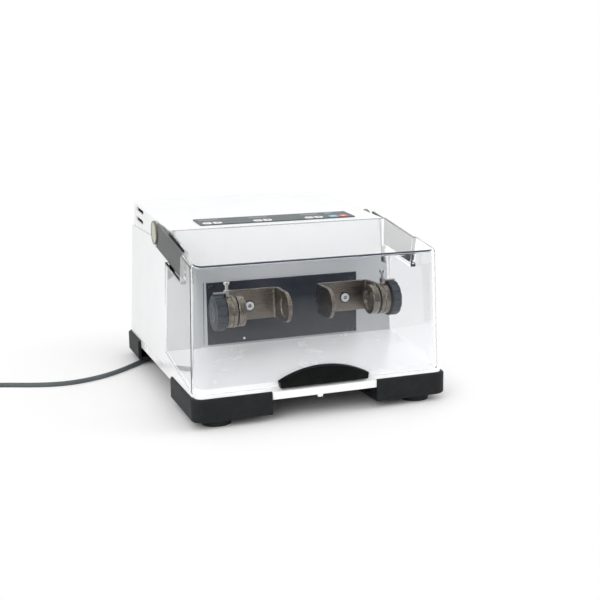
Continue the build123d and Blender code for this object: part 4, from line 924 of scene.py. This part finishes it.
# what follows is in millimetres: the pins from the plug's cord end and across its face
PIN_ROOT = 48.0
EARTH_BELOW = 6.0
BLADE_SHEET = (16.05, 0.3)
BLADES = [[(x - 0.9, -0.3), (x + 0.9, -0.3), (x + 0.9, 6.3), (x - 0.9, 6.3)] for x in (-6.35, 6.35)]
EARTH_PIN = [(0.0, 0.0), (2.5, 0.0), (2.5, 15.2), (1.9, 16.05), (0.0, 16.05)]
RIBS_Y = (241.5, 244.7, 247.9, 251.1, 254.3)
RIB = [(-0.5, 0.0), (0.1, 0.1), (0.5, 0.7), (0.1, 1.3), (-0.5, 1.4)]  # on the relief's surface
RELIEF_Y = 239.7  # where the strain relief starts to taper
RELIEF_RADIUS = 6.6
RELIEF_TAPER = 0.108  # of its radius for its length


def lead_route():
    """The lead's bends from the connector to the coil."""
    # the first two hang down behind the mill
    drop = [Vector((-0.095, 0.305, 0.0903525)), Vector((-0.095, 0.330, 0.0470513))]
    laid = [Vector((x, y, LAST_BEND.z)) for x, y in BENCH_BENDS]
    return [CONNECTOR_END, *drop, *laid, LAST_BEND, COIL_START]


def coil_route(sizes):
    """Points round a coil of two layers whose half turns shrink inwards and grow out again."""
    pitch = sizes.cord_diameter + COIL_GAP
    outward = [sizes.coil_radius - k * pitch / 2 for k in range(sizes.coil_half_turns)]
    climb = sizes.coil_radius - sizes.coil_half_turns * pitch / 2
    heading = (COIL_START - LAST_BEND).normalized()
    here = COIL_START + heading * sizes.cord_diameter
    step = math.pi / POINTS_EACH
    points = []
    for number, radius in enumerate(outward + [climb] + outward[::-1]):
        inward = Matrix.Rotation(math.pi / 2, 3, "Z") @ heading
        centre = here + inward * radius
        for k in range(POINTS_EACH):
            turned = Matrix.Rotation((k + 0.5) * step, 3, "Z") @ -inward
            point = centre + turned * (radius / math.cos(step / 2))
            if number == sizes.coil_half_turns:
                point.z += pitch * (k + 0.5) / POINTS_EACH
            points.append(point)
        here = here + inward * (2 * radius)
        if number == sizes.coil_half_turns:
            here = here + Vector((0, 0, pitch))
        heading = -heading
    return points + [here + heading * sizes.cord_diameter]


def plug_pins(plug_end):
    """Metal blades and an earth pin in the plug's face, from the place of its cord end."""
    lines = (900.0, 900.0, 900.0)
    steel = metal("Plug pins", (0.66, 0.62, 0.50), 0.2, lines=lines, dull=0.85)
    out = -(COIL_START - LAST_BEND).normalized()
    left = Matrix.Rotation(math.pi / 2, 3, "Z") @ out
    spot = Matrix((left, Vector((0, 0, 1)), out)).transposed().to_4x4()
    spot.translation = plug_end + out * (PIN_ROOT * MM)
    spot = spot @ Matrix.Scale(MM, 4)
    blades = slab("plug_blades", spot, BLADES, BLADE_SHEET, steel, "mill")
    spot = spot @ Matrix.Translation((0, -EARTH_BELOW, 0))
    return blades, lathe("plug_earth_pin", spot, EARTH_PIN, steel, "mill")


def relief_ribs():
    """Ribs round the strain relief, smaller along its taper."""
    rubber = moulding("Relief ribs", (0.013, 0.013, 0.014), 0.45)
    ribs = []
    for number, y in enumerate(RIBS_Y, 1):
        radius = RELIEF_RADIUS - (y - RELIEF_Y) * RELIEF_TAPER
        profile = [(radius + out, height) for out, height in RIB]
        spot = facing((CONNECTOR_END.x / MM, y, CONNECTOR_END.z / MM), (0, 1, 0))
        name = f"relief_rib_{number}"
        ribs.append(lathe(name, spot, profile, rubber, "mill", ring=True))
    return ribs


class MILL_OT_lead(bpy.types.Operator):
    """Lays the mains lead on the bench and coils what is left over"""

    bl_idname = "mill.lead"
    bl_label = "Mains lead"

    def execute(self, context):
        sizes = context.scene.mill_sizes
        points = lead_route() + coil_route(sizes)
        curve = bpy.data.curves.new("mains_lead", "CURVE")
        curve.dimensions = "3D"
        spline = curve.splines.new("NURBS")
        spline.points.add(len(points) - 1)
        for spot, point in zip(spline.points, points):
            spot.co = (*point, 1.0)
        spline.order_u = 3
        spline.use_endpoint_u = True
        curve.resolution_u = 8
        curve.bevel_depth = sizes.cord_diameter / 2
        curve.bevel_resolution = 6
        curve.use_fill_caps = True
        lead = bpy.data.objects.new("mains_lead", curve)
        context.scene.collection.objects.link(lead)
        grey = context.scene.mill_colours.jacket
        curve.materials.append(moulding("Lead jacket", grey, 0.45, grains=900.0))
        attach(lead, "mill")
        blades, earth = plug_pins(points[-1])
        ribs = relief_ribs()
        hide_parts("mains_cord", "cord_coil")
        return {"FINISHED"}


# ---------------------------------------------------------------- studio
# where the camera stands and how it is turned, which gives the photograph's view
CAMERA_PLACE = (-0.4900, -1.4646, 0.4329)
CAMERA_YAW = math.radians(20.17)
CAMERA_DOWN = math.radians(11.46)
CAMERA_ROLL = math.radians(-0.80)
SENSOR = 36.0  # millimetres across
UNLIT = (0.10, 0.10, 0.11)  # what a gloss shows of the unlit room in front of the mill
UNLIT_FROM_TO = (0.55, 1.15)  # metres in front of the mill
LIT_AGAIN = (1.7, 2.6)  # and beyond that the room is lit again
MILL_HALF = (0.19, 0.23, 1.0)  # half sizes of the mill, from where the floor turns pale
PALE_BY = 0.22  # metres from the mill at which the floor is seen as white
FRONT_DIM = 0.34  # what a gloss shows of the room's far front
REAR_BRIGHT = 1.65  # what a gloss shows of the lit wall high behind the mill
# between which Y or Z of a direction one part of that room turns into the next
FRONT_ENDS = (-0.75, 0.1)
REAR_STARTS = (0.35, 0.7)
HIGH_STARTS = (0.30, 0.42)
MILL_MIDDLE = (0.0, 0.0, 0.1)
# where each lamp stands and its two sides, in metres
SOFT_BOXES = {
    "overhead": ((0.1, 0.1, 2.0), (2.2, 1.8)),
    "front": ((-1.5, -1.6, 1.2), (1.6, 1.4)),
    "side": ((1.9, -0.6, 0.9), (1.2, 1.4)),
}


def light_paths(tree):
    """Masks for what is seen straight or through glass, and for what is seen in a gloss."""
    path = put(tree, "ShaderNodeLightPath").outputs
    no_matt = maths(tree, "LESS_THAN", path["Diffuse Depth"], 0.5)
    gloss = maths(tree, "MULTIPLY", no_matt, maths(tree, "GREATER_THAN", path["Glossy Depth"], 0.5))
    return maths(tree, "SUBTRACT", no_matt, gloss), gloss


def floor_material(floor_colour):
    """Pale floor that takes the shadow and fades to white away from the mill."""
    material, tree, shader = new_material("Pale sweep")
    where = object_place(tree)
    outward = vector_maths(tree, "ABSOLUTE", where)[0]
    beyond = vector_maths(tree, "SUBTRACT", outward, MILL_HALF)[0]
    clear = vector_maths(tree, "MAXIMUM", beyond)[0]
    away = vector_maths(tree, "LENGTH", clear)["Value"]
    shade = toned(floor_colour, 0.992)
    tone = blend(tree, noise(tree, where, 6.0, Detail=3.0), floor_colour, shade)
    feed(tree, shader, Base_Color=tone, Roughness=0.75, Specular_IOR_Level=0.2)
    seen, gloss = light_paths(tree)
    forward = maths(tree, "MULTIPLY", along(tree, where, "Y"), -1.0)
    near = spread(tree, forward, *UNLIT_FROM_TO, 0.0, 1.0)
    unlit = maths(tree, "MULTIPLY", near, spread(tree, forward, *LIT_AGAIN, 1.0, 0.0))
    white = put(tree, "ShaderNodeEmission", {"Color": (1.0, 1.0, 1.0, 1.0), "Strength": 1.0})
    dark = put(tree, "ShaderNodeEmission", {"Color": (*UNLIT, 1.0), "Strength": 1.0})
    pale = spread(tree, away, 0.0, PALE_BY, 0.0, 1.0)
    lit = mix_shaders(tree, maths(tree, "MULTIPLY", pale, seen), shader, white)
    show(tree, mix_shaders(tree, maths(tree, "MULTIPLY", unlit, gloss), lit, dark))
    return material


def soft_box(name, place_at, size, power):
    """A rectangular lamp that looks at the mill."""
    lamp = bpy.data.lights.new(name, "AREA")
    lamp.shape = "RECTANGLE"
    lamp.size, lamp.size_y = size
    lamp.energy = power
    holder = bpy.data.objects.new(name, lamp)
    holder.location = place_at
    aim = Vector(MILL_MIDDLE) - Vector(place_at)
    holder.rotation_euler = aim.to_track_quat("-Z", "Y").to_euler()
    bpy.context.scene.collection.objects.link(holder)


class MILL_OT_studio(bpy.types.Operator):
    """Sets up the floor, the lamps, the sky and the camera"""

    bl_idname = "mill.studio"
    bl_label = "Studio"

    def execute(self, context):
        scene = context.scene
        studio = scene.mill_studio
        scene.view_settings.view_transform = "Standard"
        self.floor(scene, studio)
        self.sky(scene, studio)
        for name, (spot, size) in SOFT_BOXES.items():
            soft_box(f"{name}_box", spot, size, getattr(studio, name))
        self.camera(scene, studio)
        return {"FINISHED"}

    def floor(self, scene, studio):
        half = studio.floor_size / 2
        mesh = bpy.data.meshes.new("floor")
        corners = [(-half, -half, 0), (half, -half, 0), (half, half, 0), (-half, half, 0)]
        mesh.from_pydata(corners, [], [(0, 1, 2, 3)])
        mesh.materials.append(floor_material(studio.floor_colour))
        floor = bpy.data.objects.new("floor", mesh)
        scene.collection.objects.link(floor)

    def sky(self, scene, studio):
        world = bpy.data.worlds.new("Sky")
        world.use_nodes = True
        tree = world.node_tree
        seen, gloss = light_paths(tree)
        toward = put(tree, "ShaderNodeTexCoord").outputs["Generated"]
        axes = put(tree, "ShaderNodeSeparateXYZ", {0: toward}).outputs
        room = spread(tree, axes["Y"], *FRONT_ENDS, FRONT_DIM, 1.0)
        behind = spread(tree, axes["Y"], *REAR_STARTS, 0.0, 1.0)
        high = spread(tree, axes["Z"], *HIGH_STARTS, 0.0, 1.0)
        wall = maths(tree, "MULTIPLY", behind, high)
        mirrored = maths(tree, "ADD", room, maths(tree, "MULTIPLY", wall, REAR_BRIGHT - 1.0))
        matt = maths(tree, "SUBTRACT", maths(tree, "SUBTRACT", 1.0, seen), gloss)
        strength = maths(tree, "ADD", seen, maths(tree, "MULTIPLY", matt, studio.sky))
        strength = maths(tree, "ADD", strength, maths(tree, "MULTIPLY", gloss, mirrored))
        background = tree.nodes["Background"]
        background.inputs["Color"].default_value = (1.0, 1.0, 1.0, 1.0)
        tree.links.new(strength, background.inputs["Strength"])
        scene.world = world

    def camera(self, scene, studio):
        lens = bpy.data.cameras.new("camera")
        lens.lens = studio.lens
        lens.sensor_width = SENSOR
        camera = bpy.data.objects.new("camera", lens)
        scene.collection.objects.link(camera)
        turn = Matrix.Rotation(-CAMERA_YAW, 4, "Z")
        tilt = Matrix.Rotation(math.pi / 2 - CAMERA_DOWN, 4, "X")
        roll = Matrix.Rotation(CAMERA_ROLL, 4, "Z")
        camera.matrix_world = Matrix.Translation(CAMERA_PLACE) @ turn @ tilt @ roll
        scene.camera = camera


# ---------------------------------------------------------------- add-on
SETTINGS = {"mill_colours": MillColours, "mill_sizes": MillSizes, "mill_studio": MillStudio}
STEPS = (
    MILL_OT_studio,
    MILL_OT_housing,
    MILL_OT_chamber,
    MILL_OT_hood,
    MILL_OT_holders,
    MILL_OT_drive,
    MILL_OT_keypad,
    MILL_OT_rear,
    MILL_OT_lead,
)


class MILL_PT_panel(bpy.types.Panel):
    """Lists the mill's pieces and settings"""

    bl_idname = "MILL_PT_panel"
    bl_label = "Bench mixer mill"
    bl_space_type = "VIEW_3D"
    bl_region_type = "UI"
    bl_category = "Mill"

    def draw(self, context):
        for step in STEPS:
            self.layout.operator(step.bl_idname)
        for name, group in SETTINGS.items():
            box = self.layout.box()
            for field in group.__annotations__:
                box.prop(getattr(context.scene, name), field)


CLASSES = (*SETTINGS.values(), *STEPS, MILL_PT_panel)


def register():
    for cls in CLASSES:
        bpy.utils.register_class(cls)
    for name, group in SETTINGS.items():
        setattr(bpy.types.Scene, name, PointerProperty(type=group))


def unregister():
    for name in SETTINGS:
        delattr(bpy.types.Scene, name)
    for cls in reversed(CLASSES):
        bpy.utils.unregister_class(cls)


def main():
    register()
    make_groups()
    for step in STEPS:
        group, name = step.bl_idname.split(".")
        getattr(getattr(bpy.ops, group), name)()


if __name__ == "__main__":
    main()
